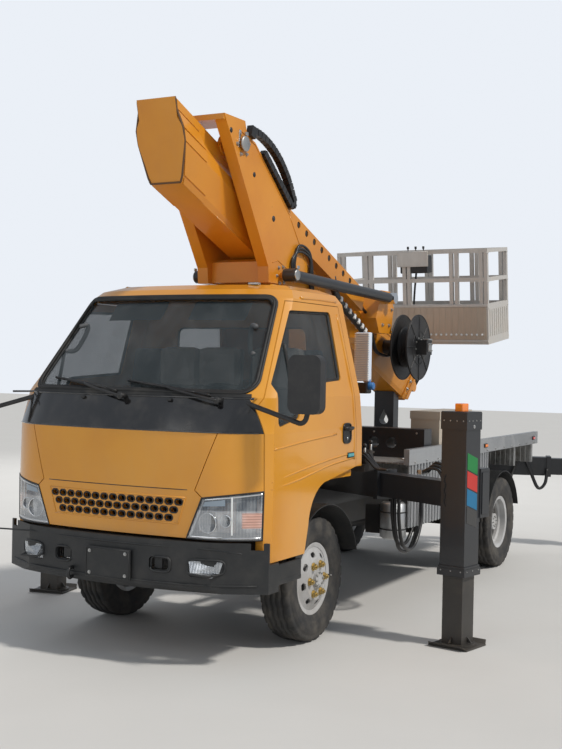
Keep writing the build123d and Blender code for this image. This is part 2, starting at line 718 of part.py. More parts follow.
def add_tyre(centre_x, back):
    """Add one tyre to the open part."""
    half = TYRE_WIDTH / 2
    with BuildSketch(wheel_plane(centre_x, back)) as tyre_section:
        with BuildLine():
            Polyline(
                (-RIM_HALF + 11 + SEAT_GAP, RIM_RADIUS + 4),
                (-RIM_HALF + 8 + SEAT_GAP, RIM_RADIUS + 14 + SEAT_GAP),
                (-RIM_HALF, RIM_RADIUS + 14 + SEAT_GAP),
                (-half + 4, RIM_RADIUS + 46),
                (-half, RIM_RADIUS + 90),
                (-half + 8, TYRE_RADIUS - 34),
                (-half + 24, TYRE_RADIUS - 5),
                (-half + 40, TYRE_RADIUS),
                (half - 40, TYRE_RADIUS),
                (half - 24, TYRE_RADIUS - 5),
                (half - 8, TYRE_RADIUS - 34),
                (half, RIM_RADIUS + 90),
                (half - 4, RIM_RADIUS + 46),
                (RIM_HALF, RIM_RADIUS + 14 + SEAT_GAP),
                (RIM_HALF - 8 - SEAT_GAP, RIM_RADIUS + 14 + SEAT_GAP),
                (RIM_HALF - 11 - SEAT_GAP, RIM_RADIUS + 4),
                close=True,
            )
        make_face()
    revolve(tyre_section.sketch, axis=Axis((centre_x, aft(back), AXLE_Z), (1, 0, 0)))


for name, side in SIDES:
    front_x = side * FRONT_TRACK / 2
    with BuildPart() as front_rim:
        add_rim(front_x, 0, side)
        hub_length = FRONT_TRACK / 2 + RIM_DISC_OFFSET - RIM_WALL / 2 - HUB_INNER_X
        with BuildSketch(Plane.YZ.offset(side * HUB_INNER_X)) as hub_outline:
            with Locations((aft(0), AXLE_Z)):
                Circle(HUB_RADIUS)
        extrude(hub_outline.sketch, amount=side * hub_length)
        with BuildSketch(Plane.YZ.offset(side * HUB_INNER_X)) as cap_outline:
            with Locations((aft(0), AXLE_Z)):
                Circle(HUB_CAP_RADIUS)
        extrude(cap_outline.sketch, amount=side * (hub_length + HUB_CAP_LENGTH))
        with BuildSketch(Plane.YZ.offset(side * HUB_INNER_X)) as hub_bore:
            with Locations((aft(0), AXLE_Z)):
                Circle(SPINDLE_RADIUS + PIN_GAP)
        extrude(hub_bore.sketch, amount=side * (FRONT_SPINDLE_END + SEAT_GAP - HUB_INNER_X), mode=Mode.SUBTRACT)
        with BuildSketch(Plane.YZ.offset(side * HUB_INNER_X)) as drum_outline:
            with Locations((aft(0), AXLE_Z)):
                Circle(DRUM_RADIUS)
                Circle(HUB_RADIUS - 5, mode=Mode.SUBTRACT)
        extrude(drum_outline.sketch, amount=side * DRUM_WIDTH)
    save(front_rim.part, f"front_{name}_rim")
    with BuildPart() as front_tyre:
        add_tyre(front_x, 0)
    save(front_tyre.part, f"front_{name}_tyre")

    rear_x = side * REAR_TRACK / 2
    outer_x = rear_x + side * TWIN_SPACING / 2
    inner_x = rear_x - side * TWIN_SPACING / 2
    with BuildPart() as rear_rims:
        add_rim(outer_x, WHEELBASE, -side)
        add_rim(inner_x, WHEELBASE, side)
        with BuildSketch(Plane.YZ.offset(side * (REAR_AXLE_TUBE_END + SEAT_GAP))) as rear_hub:
            with Locations((aft(WHEELBASE), AXLE_Z)):
                Circle(HUB_RADIUS)
        extrude(rear_hub.sketch, amount=side * (REAR_AXLE_END + 60 - REAR_AXLE_TUBE_END))
        with BuildSketch(Plane.YZ.offset(side * (REAR_AXLE_TUBE_END + SEAT_GAP))) as rear_bore:
            with Locations((aft(WHEELBASE), AXLE_Z)):
                Circle(SPINDLE_RADIUS + PIN_GAP)
        extrude(rear_bore.sketch, amount=side * (REAR_AXLE_END - REAR_AXLE_TUBE_END), mode=Mode.SUBTRACT)
    save(rear_rims.part, f"rear_{name}_twin_rims")
    with BuildPart() as rear_tyres:
        add_tyre(outer_x, WHEELBASE)
        add_tyre(inner_x, WHEELBASE)
    save(rear_tyres.part, f"rear_{name}_twin_tyres")

# Cab sections, one row per level: height, half width, nose, front of the corner, side of the corner, rear wall
CAB_SECTIONS = (
    (600, 898, -1045, -1008, -790, 400),
    (1000, 903, -1052, -1016, -790, 400),
    (BAND_BOTTOM, 900, -1040, -1000, -790, 400),
    (BAND_TOP, 884, -950, -905, -740, 398),
    (2110, 748, -490, -455, -300, 385),
    (2165, 706, -420, -385, -240, 368),
    (2200, 610, -300, -265, -140, 300),
)


def cab_form(inset):
    """Solid cab shape, drawn in by the given wall."""
    with BuildPart() as form:
        for height, half_width, nose, corner_front, corner_side, rear in CAB_SECTIONS:
            level = height - inset if height in (CAB_SECTIONS[0][0], CAB_SECTIONS[-1][0]) else height
            side_x = half_width - inset
            corner_x = CORNER_START * half_width
            front_y = aft(corner_front + inset)
            side_y = aft(corner_side + inset / 2)
            bulge_x = corner_x + CORNER_BULGE * (side_x - corner_x)
            bulge_y = side_y + CORNER_BULGE * (front_y - side_y)
            with BuildSketch(Plane.XY.offset(level)):
                with BuildLine():
                    ThreePointArc((-corner_x, front_y), (0, aft(nose + inset)), (corner_x, front_y))
                    ThreePointArc((corner_x, front_y), (bulge_x, bulge_y), (side_x, side_y))
                    Line((side_x, side_y), (side_x, aft(rear - inset)))
                    Line((side_x, aft(rear - inset)), (-side_x, aft(rear - inset)))
                    Line((-side_x, aft(rear - inset)), (-side_x, side_y))
                    ThreePointArc((-side_x, side_y), (-bulge_x, bulge_y), (-corner_x, front_y))
                make_face()
        loft(ruled=True)
    return form.part


CAB_OUTSIDE = cab_form(0)
CAB_INSIDE = cab_form(CAB_WALL)
GLASS_OUTSIDE = cab_form(CAB_WALL / 2)
GLASS_INSIDE = cab_form(CAB_WALL / 2 + GLASS_THICKNESS)

DOOR_FRONT = -835
DOOR_REAR = 312
DOOR_TOP = 2090


def outline_face(plane, points, grow=0.0, rounding=0.0):
    """Face through the given points on a plane, grown by a seam and with round corners."""
    with BuildSketch(plane) as outline:
        with BuildLine():
            Polyline(*points, close=True)
        make_face()
        if rounding:
            fillet(outline.vertices(), radius=rounding)
        if grow:
            offset(amount=grow, kind=Kind.INTERSECTION)
    return outline.sketch


def door_face(side, grow=0.0):
    """Door outline in side view, on the middle plane."""
    with BuildSketch(Plane.YZ) as outline:
        with BuildLine():
            Polyline(
                (aft(DOOR_REAR), ARCH_REAR_Z),
                (aft(DOOR_REAR), DOOR_TOP),
                (aft(-350), DOOR_TOP),
                (aft(DOOR_FRONT), 1460),
                (aft(DOOR_FRONT), DOOR_BOTTOM),
                (aft(-386), DOOR_BOTTOM),
                (aft(-345), 770),
            )
            ThreePointArc((aft(-345), 770), (aft(-262), 942), (aft(-95), 1012))
            Line((aft(-95), 1012), (aft(DOOR_REAR), ARCH_REAR_Z))
        make_face()
        if grow:
            offset(amount=grow, kind=Kind.INTERSECTION)
    return outline.sketch


SIDE_WINDOW = (
    (aft(-735), 1355),
    (aft(-480), 1402),
    (aft(-380), 1590),
    (aft(152), 1622),
    (aft(172), 2050),
    (aft(-365), 2035),
    (aft(-715), 1600),
)
FRONT_PANEL = (
    (-646, BAND_BOTTOM + 1),
    (-529, 1006),
    (-574, 965),
    (-483, 737),
    (483, 737),
    (574, 965),
    (529, 1006),
    (646, BAND_BOTTOM + 1),
)
HEADLAMP = ((574, 965), (483, 737), (892, 735), (892, HEADLAMP_TOP))
WINDSCREEN = ((-773, 1548), (773, 1548), (668, 2098), (-668, 2098))
REAR_WINDOW = ((-520, 1600), (520, 1600), (500, 1960), (-500, 1960))
FRONT_VIEW = Plane(origin=(0, aft(DOOR_FRONT - PANEL_SEAM), 0), x_dir=(1, 0, 0), z_dir=(0, -1, 0))
GLASS_VIEW = Plane(origin=(0, aft(-250), 0), x_dir=(1, 0, 0), z_dir=(0, -1, 0))
REAR_VIEW = Plane(origin=(0, aft(CAB_REAR + 50), 0), x_dir=(1, 0, 0), z_dir=(0, -1, 0))
VIEW_DEPTH = 400
BAND = ((-CAB_CUT, BAND_BOTTOM), (CAB_CUT, BAND_BOTTOM), (CAB_CUT, BAND_TOP), (-CAB_CUT, BAND_TOP))

with BuildPart() as firewall_top:
    add(CAB_OUTSIDE)
    with Locations((0, aft(FIREWALL_BACK), HEADLAMP_TOP + PANEL_SEAM)):
        Box(
            2 * CAB_CUT,
            30,
            BAND_BOTTOM - SEAT_GAP - HEADLAMP_TOP - PANEL_SEAM,
            align=(Align.CENTER, Align.CENTER, Align.MIN),
            mode=Mode.INTERSECT,
        )

# Cab shell: roof, pillars, corner panels, rear wall, floor, firewall and mounts
with BuildPart() as cab_shell:
    add(CAB_OUTSIDE)
    add(CAB_INSIDE, mode=Mode.SUBTRACT)
    for side in (1, -1):
        extrude(door_face(side, PANEL_SEAM), amount=side * 1000, mode=Mode.SUBTRACT)
    with Locations((0, aft(CAB_REAR), 0)):
        Box(2400, 2 * (CAB_REAR + 390), 2 * ARCH_REAR_Z, mode=Mode.SUBTRACT)
    with Locations((0, aft(DOOR_FRONT), 0)):
        Box(2400, 900, 2 * PANEL_BOTTOM, mode=Mode.SUBTRACT)
    extrude(outline_face(FRONT_VIEW, FRONT_PANEL, PANEL_SEAM), amount=VIEW_DEPTH, mode=Mode.SUBTRACT)
    for side in (1, -1):
        lamp = [(side * x, z) for x, z in HEADLAMP]
        extrude(outline_face(FRONT_VIEW, lamp), amount=VIEW_DEPTH, mode=Mode.SUBTRACT)
    extrude(outline_face(FRONT_VIEW, BAND), amount=VIEW_DEPTH, mode=Mode.SUBTRACT)
    extrude(outline_face(GLASS_VIEW, WINDSCREEN, SEAT_GAP, 60), amount=2 * VIEW_DEPTH, mode=Mode.SUBTRACT)
    extrude(outline_face(REAR_VIEW, REAR_WINDOW, SEAT_GAP, 50), amount=150, mode=Mode.SUBTRACT)
    with Locations((0, aft((CAB_REAR - CAB_WALL / 2 + FIREWALL_BACK) / 2), CAB_FLOOR)):
        Box(
            2 * FLOOR_HALF_WIDTH,
            CAB_REAR - CAB_WALL / 2 - FIREWALL_BACK,
            CAB_FLOOR_THICKNESS,
            align=(Align.CENTER, Align.CENTER, Align.MIN),
        )
    with Locations((0, aft(CAB_REAR - CAB_WALL / 2), CAB_FLOOR)):
        Box(2 * FLOOR_HALF_WIDTH, FLOOR_LIP, FLOOR_LIP_HEIGHT, align=(Align.CENTER, Align.MAX, Align.MIN))
    with Locations((0, aft((SILL_FRONT + DOOR_REAR) / 2), CAB_FLOOR)):
        Box(
            2 * (CAB_SECTIONS[1][1] - CAB_WALL - 2 * SEAT_GAP),
            DOOR_REAR - SILL_FRONT,
            CAB_FLOOR_THICKNESS,
            align=(Align.CENTER, Align.CENTER, Align.MIN),
        )
    with Locations((0, aft(FIREWALL_BACK), PANEL_BOTTOM)):
        Box(2 * FIREWALL_HALF_WIDTH, 30, CAB_FLOOR - PANEL_BOTTOM, align=(Align.CENTER, Align.CENTER, Align.MIN))
    add(firewall_top.part)
    for back in (-640, 330):
        for side in (1, -1):
            with Locations((side * (RAIL_HALF_WIDTH - RAIL_FLANGE / 2), aft(back), RAIL_TOP + SEAT_GAP)):
                Box(50, 90, CAB_FLOOR - RAIL_TOP, align=(Align.CENTER, Align.CENTER, Align.MIN))
save(cab_shell.part, "cab_shell")

# Front panel with its rows of oval grille openings
with BuildPart() as front_panel:
    add(CAB_OUTSIDE)
    add(CAB_INSIDE, mode=Mode.SUBTRACT)
    extrude(outline_face(FRONT_VIEW, FRONT_PANEL, -1), amount=VIEW_DEPTH, mode=Mode.INTERSECT)
    with BuildSketch(FRONT_VIEW):
        # height and number of openings in each row
        for row_z, openings in GRILLE_ROWS:
            with Locations((0, row_z)):
                with GridLocations(GRILLE_PITCH, 1, openings, 1):
                    SlotOverall(GRILLE_OPENING_WIDTH, GRILLE_OPENING_HEIGHT)
    extrude(amount=VIEW_DEPTH, mode=Mode.SUBTRACT)
save(front_panel.part, "front_panel")

with BuildPart() as cowl_band:
    add(CAB_OUTSIDE)
    add(CAB_INSIDE, mode=Mode.SUBTRACT)
    extrude(outline_face(FRONT_VIEW, BAND, -SEAT_GAP), amount=VIEW_DEPTH, mode=Mode.INTERSECT)
save(cowl_band.part, "cowl_band")

with BuildPart() as windscreen:
    add(GLASS_OUTSIDE)
    add(GLASS_INSIDE, mode=Mode.SUBTRACT)
    extrude(outline_face(GLASS_VIEW, WINDSCREEN, 0, 60), amount=2 * VIEW_DEPTH, mode=Mode.INTERSECT)
save(windscreen.part, "windscreen")

with BuildPart() as rear_window:
    add(GLASS_OUTSIDE)
    add(GLASS_INSIDE, mode=Mode.SUBTRACT)
    extrude(outline_face(REAR_VIEW, REAR_WINDOW, 0, 50), amount=150, mode=Mode.INTERSECT)
save(rear_window.part, "rear_window")

# Doors with their windows
for name, side in SIDES:
    with BuildPart() as door:
        add(CAB_OUTSIDE)
        add(CAB_INSIDE, mode=Mode.SUBTRACT)
        extrude(door_face(side), amount=side * 1000, mode=Mode.INTERSECT)
        with BuildSketch(Plane.YZ):
            add(outline_face(Plane.XY, SIDE_WINDOW, SEAT_GAP, 25))
        extrude(amount=side * 1000, mode=Mode.SUBTRACT)
    save(door.part, f"door_{name}")
    with BuildPart() as door_glass:
        add(GLASS_OUTSIDE)
        add(GLASS_INSIDE, mode=Mode.SUBTRACT)
        with BuildSketch(Plane.YZ):
            add(outline_face(Plane.XY, SIDE_WINDOW, 0, 25))
        extrude(amount=side * 1000, mode=Mode.INTERSECT)
    save(door_glass.part, f"door_glass_{name}")

# Headlamps and fog lamps
with BuildPart() as headlamps:
    add(CAB_OUTSIDE)
    add(CAB_INSIDE, mode=Mode.SUBTRACT)
    with BuildSketch(FRONT_VIEW):
        for side in (1, -1):
            add(outline_face(Plane.XY, [(side * x, z) for x, z in HEADLAMP], -SEAT_GAP))
    extrude(amount=VIEW_DEPTH, mode=Mode.INTERSECT)
save(headlamps.part, "headlamps")


def bumper_outline(inset):
    """Plan outline of the bumper's outer face, drawn in by the given wall."""
    side_x = BUMPER_HALF_WIDTH - inset
    with BuildSketch(Plane.XY.offset(BUMPER_BOTTOM)) as outline:
        with BuildLine():
            ThreePointArc(
                (-BUMPER_CORNER_X, -BUMPER_CORNER_REACH + inset + FRONT_AXLE_Y),
                (0, -FRONT_REACH + inset + FRONT_AXLE_Y),
                (BUMPER_CORNER_X, -BUMPER_CORNER_REACH + inset + FRONT_AXLE_Y),
            )
            Line(
                (BUMPER_CORNER_X, -BUMPER_CORNER_REACH + inset + FRONT_AXLE_Y),
                (side_x, aft(BUMPER_SIDE_START)),
            )
            Line((side_x, aft(BUMPER_SIDE_START)), (side_x, aft(BUMPER_REAR)))
            Line((side_x, aft(BUMPER_REAR)), (-side_x, aft(BUMPER_REAR)))
            Line((-side_x, aft(BUMPER_REAR)), (-side_x, aft(BUMPER_SIDE_START)))
            Line(
                (-side_x, aft(BUMPER_SIDE_START)),
                (-BUMPER_CORNER_X, -BUMPER_CORNER_REACH + inset + FRONT_AXLE_Y),
            )
        make_face()
    return outline.sketch


# Bumper: a wrapped shell with openings for the lamps, the air and the tow eyes, on two brackets
with BuildPart() as bumper:
    extrude(bumper_outline(0), amount=BUMPER_TOP - BUMPER_BOTTOM)
    chamfer(bumper.edges().group_by(Axis.Z)[0].filter_by(GeomType.LINE, reverse=True), length=24)
    extrude(bumper_outline(BUMPER_WALL), amount=BUMPER_TOP - BUMPER_BOTTOM - BUMPER_WALL, mode=Mode.SUBTRACT)
    with Locations((0, aft(BUMPER_LID_REAR), BUMPER_TOP)):
        Box(
            2 * (BUMPER_HALF_WIDTH - BUMPER_WALL),
            -2 * BUMPER_LID_REAR,
            3 * BUMPER_WALL,
            align=(Align.CENTER, Align.MIN, Align.CENTER),
            mode=Mode.SUBTRACT,
        )
    with Locations((0, aft(DOOR_FRONT - PANEL_SEAM), DOOR_BOTTOM - PANEL_SEAM)):
        Box(3 * BUMPER_HALF_WIDTH, 500, 500, align=(Align.CENTER, Align.MIN, Align.MIN), mode=Mode.SUBTRACT)
    with BuildSketch(FRONT_VIEW):
        # middle of each opening from the centre line, height, width and depth of the opening
        for centre_x, centre_z, width, height in BUMPER_OPENINGS:
            with Locations((centre_x, centre_z)):
                RectangleRounded(width, height, 0.3 * height)
    extrude(amount=VIEW_DEPTH, mode=Mode.SUBTRACT)
    for side in (1, -1):
        with Locations((side * (RAIL_HALF_WIDTH - RAIL_FLANGE / 2), aft(RAIL_FRONT - SEAT_GAP), RAIL_TOP - 90)):
            Box(50, BUMPER_BRACKET, 110, align=(Align.CENTER, Align.MAX, Align.CENTER))
save(bumper.part, "bumper")

with BuildPart() as fog_lamps:
    with BuildSketch(Plane.XZ.offset(-aft(FOG_LAMP_FRONT))):
        for side in (1, -1):
            with Locations((side * FOG_LAMP_X, FOG_LAMP_Z)):
                RectangleRounded(
                    FOG_LAMP_WIDTH - 2 * SEAT_GAP,
                    FOG_LAMP_HEIGHT - 2 * SEAT_GAP,
                    0.3 * FOG_LAMP_HEIGHT - SEAT_GAP,
                )
    extrude(amount=-70)
save(fog_lamps.part, "fog_lamps")

# Mirrors: a bent arm from the cab's corner and a rounded head
with BuildPart() as mirrors:
    for name, side in SIDES:
        with BuildSketch(Plane(origin=(0, aft(MIRROR_BACK), 0), x_dir=(1, 0, 0), z_dir=(0, -1, 0))) as head_outline:
            with Locations((side * MIRROR_X, MIRROR_Z)):
                RectangleRounded(MIRROR_WIDTH, MIRROR_HEIGHT, 45)
        extrude(head_outline.sketch, amount=-MIRROR_DEPTH)
        root = (side * MIRROR_ROOT_X, aft(MIRROR_ROOT_BACK), MIRROR_ROOT_Z)
        knee = (side * (MIRROR_X - 10), aft(MIRROR_BACK + MIRROR_DEPTH / 2), MIRROR_Z - MIRROR_HEIGHT / 2 - 60)
        head = (side * (MIRROR_X + 15), aft(MIRROR_BACK + MIRROR_DEPTH / 2), MIRROR_Z - MIRROR_HEIGHT / 2 + 30)
        with BuildLine() as arm_line:
            FilletPolyline(root, knee, head, radius=40)
        with BuildSketch(Plane(origin=root, z_dir=arm_line.line % 0)) as arm_section:
            Circle(MIRROR_ARM_RADIUS)
        sweep(arm_section.sketch, path=arm_line.line)
    add(cab_form(-SEAT_GAP), mode=Mode.SUBTRACT)
save(mirrors.part, "mirrors")

# Seats: driver's seat and a double seat, each a cushion and a raked back
with BuildPart() as seats:
    # middle from the centre line, width
    for centre_x, width in ((430, 470), (-330, 820)):
        seat_view = Plane(origin=(centre_x - width / 2, 0, 0), x_dir=(0, 1, 0), z_dir=(1, 0, 0))
        with BuildSketch(seat_view):
            with BuildLine():
                Polyline(
                    (aft(-330), CAB_FLOOR + CAB_FLOOR_THICKNESS + SEAT_GAP),
                    (aft(-330), CAB_FLOOR + 250),
                    (aft(80), CAB_FLOOR + 225),
                    (aft(195), CAB_FLOOR + 800),
                    (aft(290), CAB_FLOOR + 800),
                    (aft(230), CAB_FLOOR + CAB_FLOOR_THICKNESS + SEAT_GAP),
                    close=True,
                )
            make_face()
        extrude(amount=width)
    fillet(seats.edges().filter_by(Axis.X), radius=35)
save(seats.part, "seats")

# Dashboard with its instrument hood, and the steering wheel on its column
with BuildPart() as dashboard:
    with BuildSketch(Plane.YZ.offset(-DASH_HALF_WIDTH)):
        with BuildLine():
            Polyline(
                (aft(FIREWALL_BACK + 15 + SEAT_GAP), CAB_FLOOR + 180),
                (aft(FIREWALL_BACK + 15 + SEAT_GAP), BAND_BOTTOM),
                (aft(-800), CAB_FLOOR + 450),
                (aft(-640), CAB_FLOOR + 460),
                (aft(-560), CAB_FLOOR + 400),
                (aft(-600), CAB_FLOOR + 180),
                close=True,
            )
        make_face()
    extrude(amount=2 * DASH_HALF_WIDTH)
    fillet(dashboard.edges().filter_by(Axis.X).sort_by(Axis.Z)[-2:], radius=30)
save(dashboard.part, "dashboard")

STEERING_PLANE = Plane(origin=(WHEEL_X, aft(-400), CAB_FLOOR + 480), x_dir=(1, 0, 0), z_dir=(0, 0.42, 0.91))
with BuildPart() as steering_wheel:
    with BuildSketch(Plane(origin=STEERING_PLANE.origin, x_dir=STEERING_PLANE.x_dir, z_dir=STEERING_PLANE.y_dir)):
        with Locations((STEERING_RADIUS, 0)):
            Circle(15)
    revolve(axis=Axis(STEERING_PLANE.origin, STEERING_PLANE.z_dir))
    with BuildSketch(STEERING_PLANE.offset(-12)):
        Circle(55)
        Rectangle(2 * STEERING_RADIUS, 36)
        with Locations((0, -STEERING_RADIUS / 2)):
            Rectangle(36, STEERING_RADIUS)
    extrude(amount=22)
    with BuildSketch(STEERING_PLANE.offset(-12)):
        Circle(22)
    extrude(amount=-STEERING_COLUMN)
    with Locations((WHEEL_X, aft(-600), CAB_FLOOR + CAB_FLOOR_THICKNESS + SEAT_GAP)):
        Box(200, 200, 200, align=(Align.CENTER, Align.CENTER, Align.MAX), mode=Mode.SUBTRACT)
save(steering_wheel.part, "steering_wheel")

# Mudguards: an arched liner hung from the cab floor over each front wheel, an arched sheet over each rear pair
with BuildPart() as mudguards:
    for name, side in SIDES:
        with BuildSketch(Plane.YZ.offset(side * FRONT_GUARD_INNER)) as liner:
            with Locations((aft(0), AXLE_Z)):
                Circle(FRONT_GUARD_RADIUS + GUARD_SHEET)
                Circle(FRONT_GUARD_RADIUS, mode=Mode.SUBTRACT)
            with Locations((aft(0), AXLE_Z + FRONT_GUARD_CUT)):
                Rectangle(3 * FRONT_GUARD_RADIUS, 800, align=(Align.CENTER, Align.MAX), mode=Mode.SUBTRACT)
        extrude(liner.sketch, amount=side * (FRONT_GUARD_OUTER - FRONT_GUARD_INNER))
        liner_top = AXLE_Z + FRONT_GUARD_RADIUS + GUARD_SHEET / 2
        with Locations((side * FRONT_HANGER_X, aft(0), liner_top)):
            Box(60, 60, CAB_FLOOR - SEAT_GAP - liner_top, align=(Align.CENTER, Align.CENTER, Align.MIN))
        with BuildSketch(Plane.YZ.offset(side * REAR_GUARD_INNER)) as guard:
            with Locations((aft(WHEELBASE), AXLE_Z)):
                Circle(REAR_GUARD_RADIUS + GUARD_SHEET)
                Circle(REAR_GUARD_RADIUS, mode=Mode.SUBTRACT)
            with Locations((aft(WHEELBASE), AXLE_Z + REAR_GUARD_CUT)):
                Rectangle(3 * REAR_GUARD_RADIUS, 800, align=(Align.CENTER, Align.MAX), mode=Mode.SUBTRACT)
        extrude(guard.sketch, amount=side * (REAR_GUARD_OUTER - REAR_GUARD_INNER))
        with Locations((side * (RAIL_HALF_WIDTH + SEAT_GAP), aft(WHEELBASE), AXLE_Z + REAR_GUARD_RADIUS)):
            Box(
                REAR_GUARD_INNER + 40 - RAIL_HALF_WIDTH,
                60,
                GUARD_SHEET,
                align=(Align.MIN if side > 0 else Align.MAX, Align.CENTER, Align.MIN),
            )
        with Locations((side * (RAIL_HALF_WIDTH + SEAT_GAP), aft(WHEELBASE), AXLE_Z + REAR_GUARD_RADIUS)):
            Box(
                GUARD_SHEET,
                60,
                160,
                align=(Align.MIN if side > 0 else Align.MAX, Align.CENTER, Align.MAX),
            )
save(mudguards.part, "mudguards")

# Deck: a sheet with a folded edge, standing on the subframe by cross bearers
with BuildPart() as deck:
    with Locations((0, aft(DECK_FRONT), DECK_TOP)):
        Box(
            2 * DECK_HALF_WIDTH,
            DECK_REAR - DECK_FRONT,
            DECK_SHEET,
            align=(Align.CENTER, Align.MIN, Align.MAX),
        )
    for back in DECK_BEARERS:
        with Locations((0, aft(back), SUBFRAME_TOP + SEAT_GAP)):
            Box(
                2 * DECK_HALF_WIDTH,
                50,
                DECK_TOP - SUBFRAME_TOP - SEAT_GAP,
                align=(Align.CENTER, Align.CENTER, Align.MIN),
            )
    with Locations((0, aft(SLEW_BACK), DECK_TOP)):
        Cylinder(PEDESTAL_RADIUS + RUNNING_GAP, 4 * DECK_SHEET, mode=Mode.SUBTRACT)
    # slot that the boom's sections run through
    with Locations((0, aft(DECK_SLOT_FRONT), SUBFRAME_TOP)):
        Box(2 * DECK_SLOT_HALF, 500, 400, align=(Align.CENTER, Align.MIN, Align.MIN), mode=Mode.SUBTRACT)
save(deck.part, "deck")

# Side guards: an aluminium edge rail on the deck and a ribbed skirt under it, on both sides
with BuildPart() as side_guards:
    for name, side in SIDES:
        rail_x = side * (DECK_HALF_WIDTH + SEAT_GAP + EDGE_RAIL / 2)
        with Locations((rail_x, aft(DECK_FRONT), EDGE_RAIL_BOTTOM)):
            Box(
                EDGE_RAIL,
                DECK_REAR - DECK_FRONT,
                EDGE_RAIL_HEIGHT,
                align=(Align.CENTER, Align.MIN, Align.MIN),
            )
        # front end, rear end and lower edge of each skirt
        for skirt_front, skirt_rear, skirt_bottom in SKIRTS:
            with BuildSketch(Plane.XY.offset(skirt_bottom)) as skirt:
                with Locations((rail_x, aft((skirt_front + skirt_rear) / 2))):
                    Rectangle(SKIRT_WALL, skirt_rear - skirt_front)
                ribs = int((skirt_rear - skirt_front) / RIB_PITCH)
                with Locations((rail_x + side * RIB_DEPTH / 2, aft((skirt_front + skirt_rear) / 2))):
                    with GridLocations(1, RIB_PITCH, 1, ribs):
                        Rectangle(RIB_DEPTH + SKIRT_WALL, RIB_WIDTH)
            extrude(skirt.sketch, amount=EDGE_RAIL_BOTTOM - skirt_bottom)
save(side_guards.part, "side_guards")

# Toolbox on the deck, with its lid line
with BuildPart() as toolbox:
    with Locations((TOOLBOX_X, aft(TOOLBOX_BACK), DECK_TOP + SEAT_GAP)):
        Box(TOOLBOX_WIDTH, TOOLBOX_LENGTH, TOOLBOX_HEIGHT, align=(Align.CENTER, Align.CENTER, Align.MIN))
        with Locations((0, 0, TOOLBOX_HEIGHT - 60)):
            Box(TOOLBOX_WIDTH + 12, TOOLBOX_LENGTH + 12, 60, align=(Align.CENTER, Align.CENTER, Align.MIN))
save(toolbox.part, "toolbox")

# Cross box behind the slewing ring, with its round openings
with BuildPart() as cross_box:
    with BuildSketch(Plane.XZ.offset(-aft(CROSS_BOX_FRONT))):
        with Locations((0, DECK_TOP + SEAT_GAP + CROSS_BOX_HEIGHT / 2)):
            Rectangle(2 * CROSS_BOX_HALF, CROSS_BOX_HEIGHT)
        for centre_x in CROSS_BOX_OPENINGS:
            with Locations((centre_x, DECK_TOP + CROSS_BOX_HEIGHT / 2)):
                Circle(CROSS_BOX_OPENING_RADIUS, mode=Mode.SUBTRACT)
    extrude(amount=-CROSS_BOX_DEPTH)
save(cross_box.part, "cross_box")

# Slewing pedestal: a stiffened drum on the housings, with the fixed half of the slewing ring
with BuildPart() as slew_pedestal:
    with BuildSketch(Plane.XY.offset(PEDESTAL_BOTTOM)):
        with Locations((0, aft(SLEW_BACK))):
            Circle(PEDESTAL_RADIUS)
            Circle(PEDESTAL_RADIUS - 40, mode=Mode.SUBTRACT)
    extrude(amount=RING_TOP - 60 - PEDESTAL_BOTTOM)
    with BuildSketch(Plane.XY.offset(RING_TOP - 60)):
        with Locations((0, aft(SLEW_BACK))):
            Circle(RING_RADIUS)
            Circle(RING_RADIUS - 90, mode=Mode.SUBTRACT)
    extrude(amount=60)
save(slew_pedestal.part, "slew_pedestal")

# Boom rest: a post on the subframe with a pear-shaped opening and a sloping pad
with BuildPart() as boom_rest:
    rest_top = boom_bottom_z(REST_BACK - REST_DEPTH / 2) - REST_GAP
    with BuildSketch(Plane.XZ.offset(-aft(REST_BACK - REST_DEPTH / 2))):
        with Locations((0, DECK_TOP + SEAT_GAP)):
            Rectangle(REST_WIDTH, rest_top - DECK_TOP - SEAT_GAP, align=(Align.CENTER, Align.MIN))
            Rectangle(REST_FOOT_WIDTH, REST_FOOT_HEIGHT, align=(Align.CENTER, Align.MIN))
        with BuildLine():
            Line((-REST_HOLE, REST_HOLE_Z), (0, REST_HOLE_Z + 2.2 * REST_HOLE))
            Line((0, REST_HOLE_Z + 2.2 * REST_HOLE), (REST_HOLE, REST_HOLE_Z))
            ThreePointArc((REST_HOLE, REST_HOLE_Z), (0, REST_HOLE_Z - REST_HOLE), (-REST_HOLE, REST_HOLE_Z))
        make_face(mode=Mode.SUBTRACT)
    extrude(amount=-REST_DEPTH)
    with BuildSketch(Plane.YZ.offset(-REST_WIDTH)):
        with BuildLine():
            Polyline(
                (aft(REST_BACK - REST_DEPTH), boom_bottom_z(REST_BACK - REST_DEPTH) - REST_GAP),
                (aft(REST_BACK + REST_DEPTH), boom_bottom_z(REST_BACK + REST_DEPTH) - REST_GAP),
                (aft(REST_BACK + REST_DEPTH), rest_top + 100),
                (aft(REST_BACK - REST_DEPTH), rest_top + 100),
                close=True,
            )
        make_face()
    extrude(amount=2 * REST_WIDTH, mode=Mode.SUBTRACT)
save(boom_rest.part, "boom_rest")

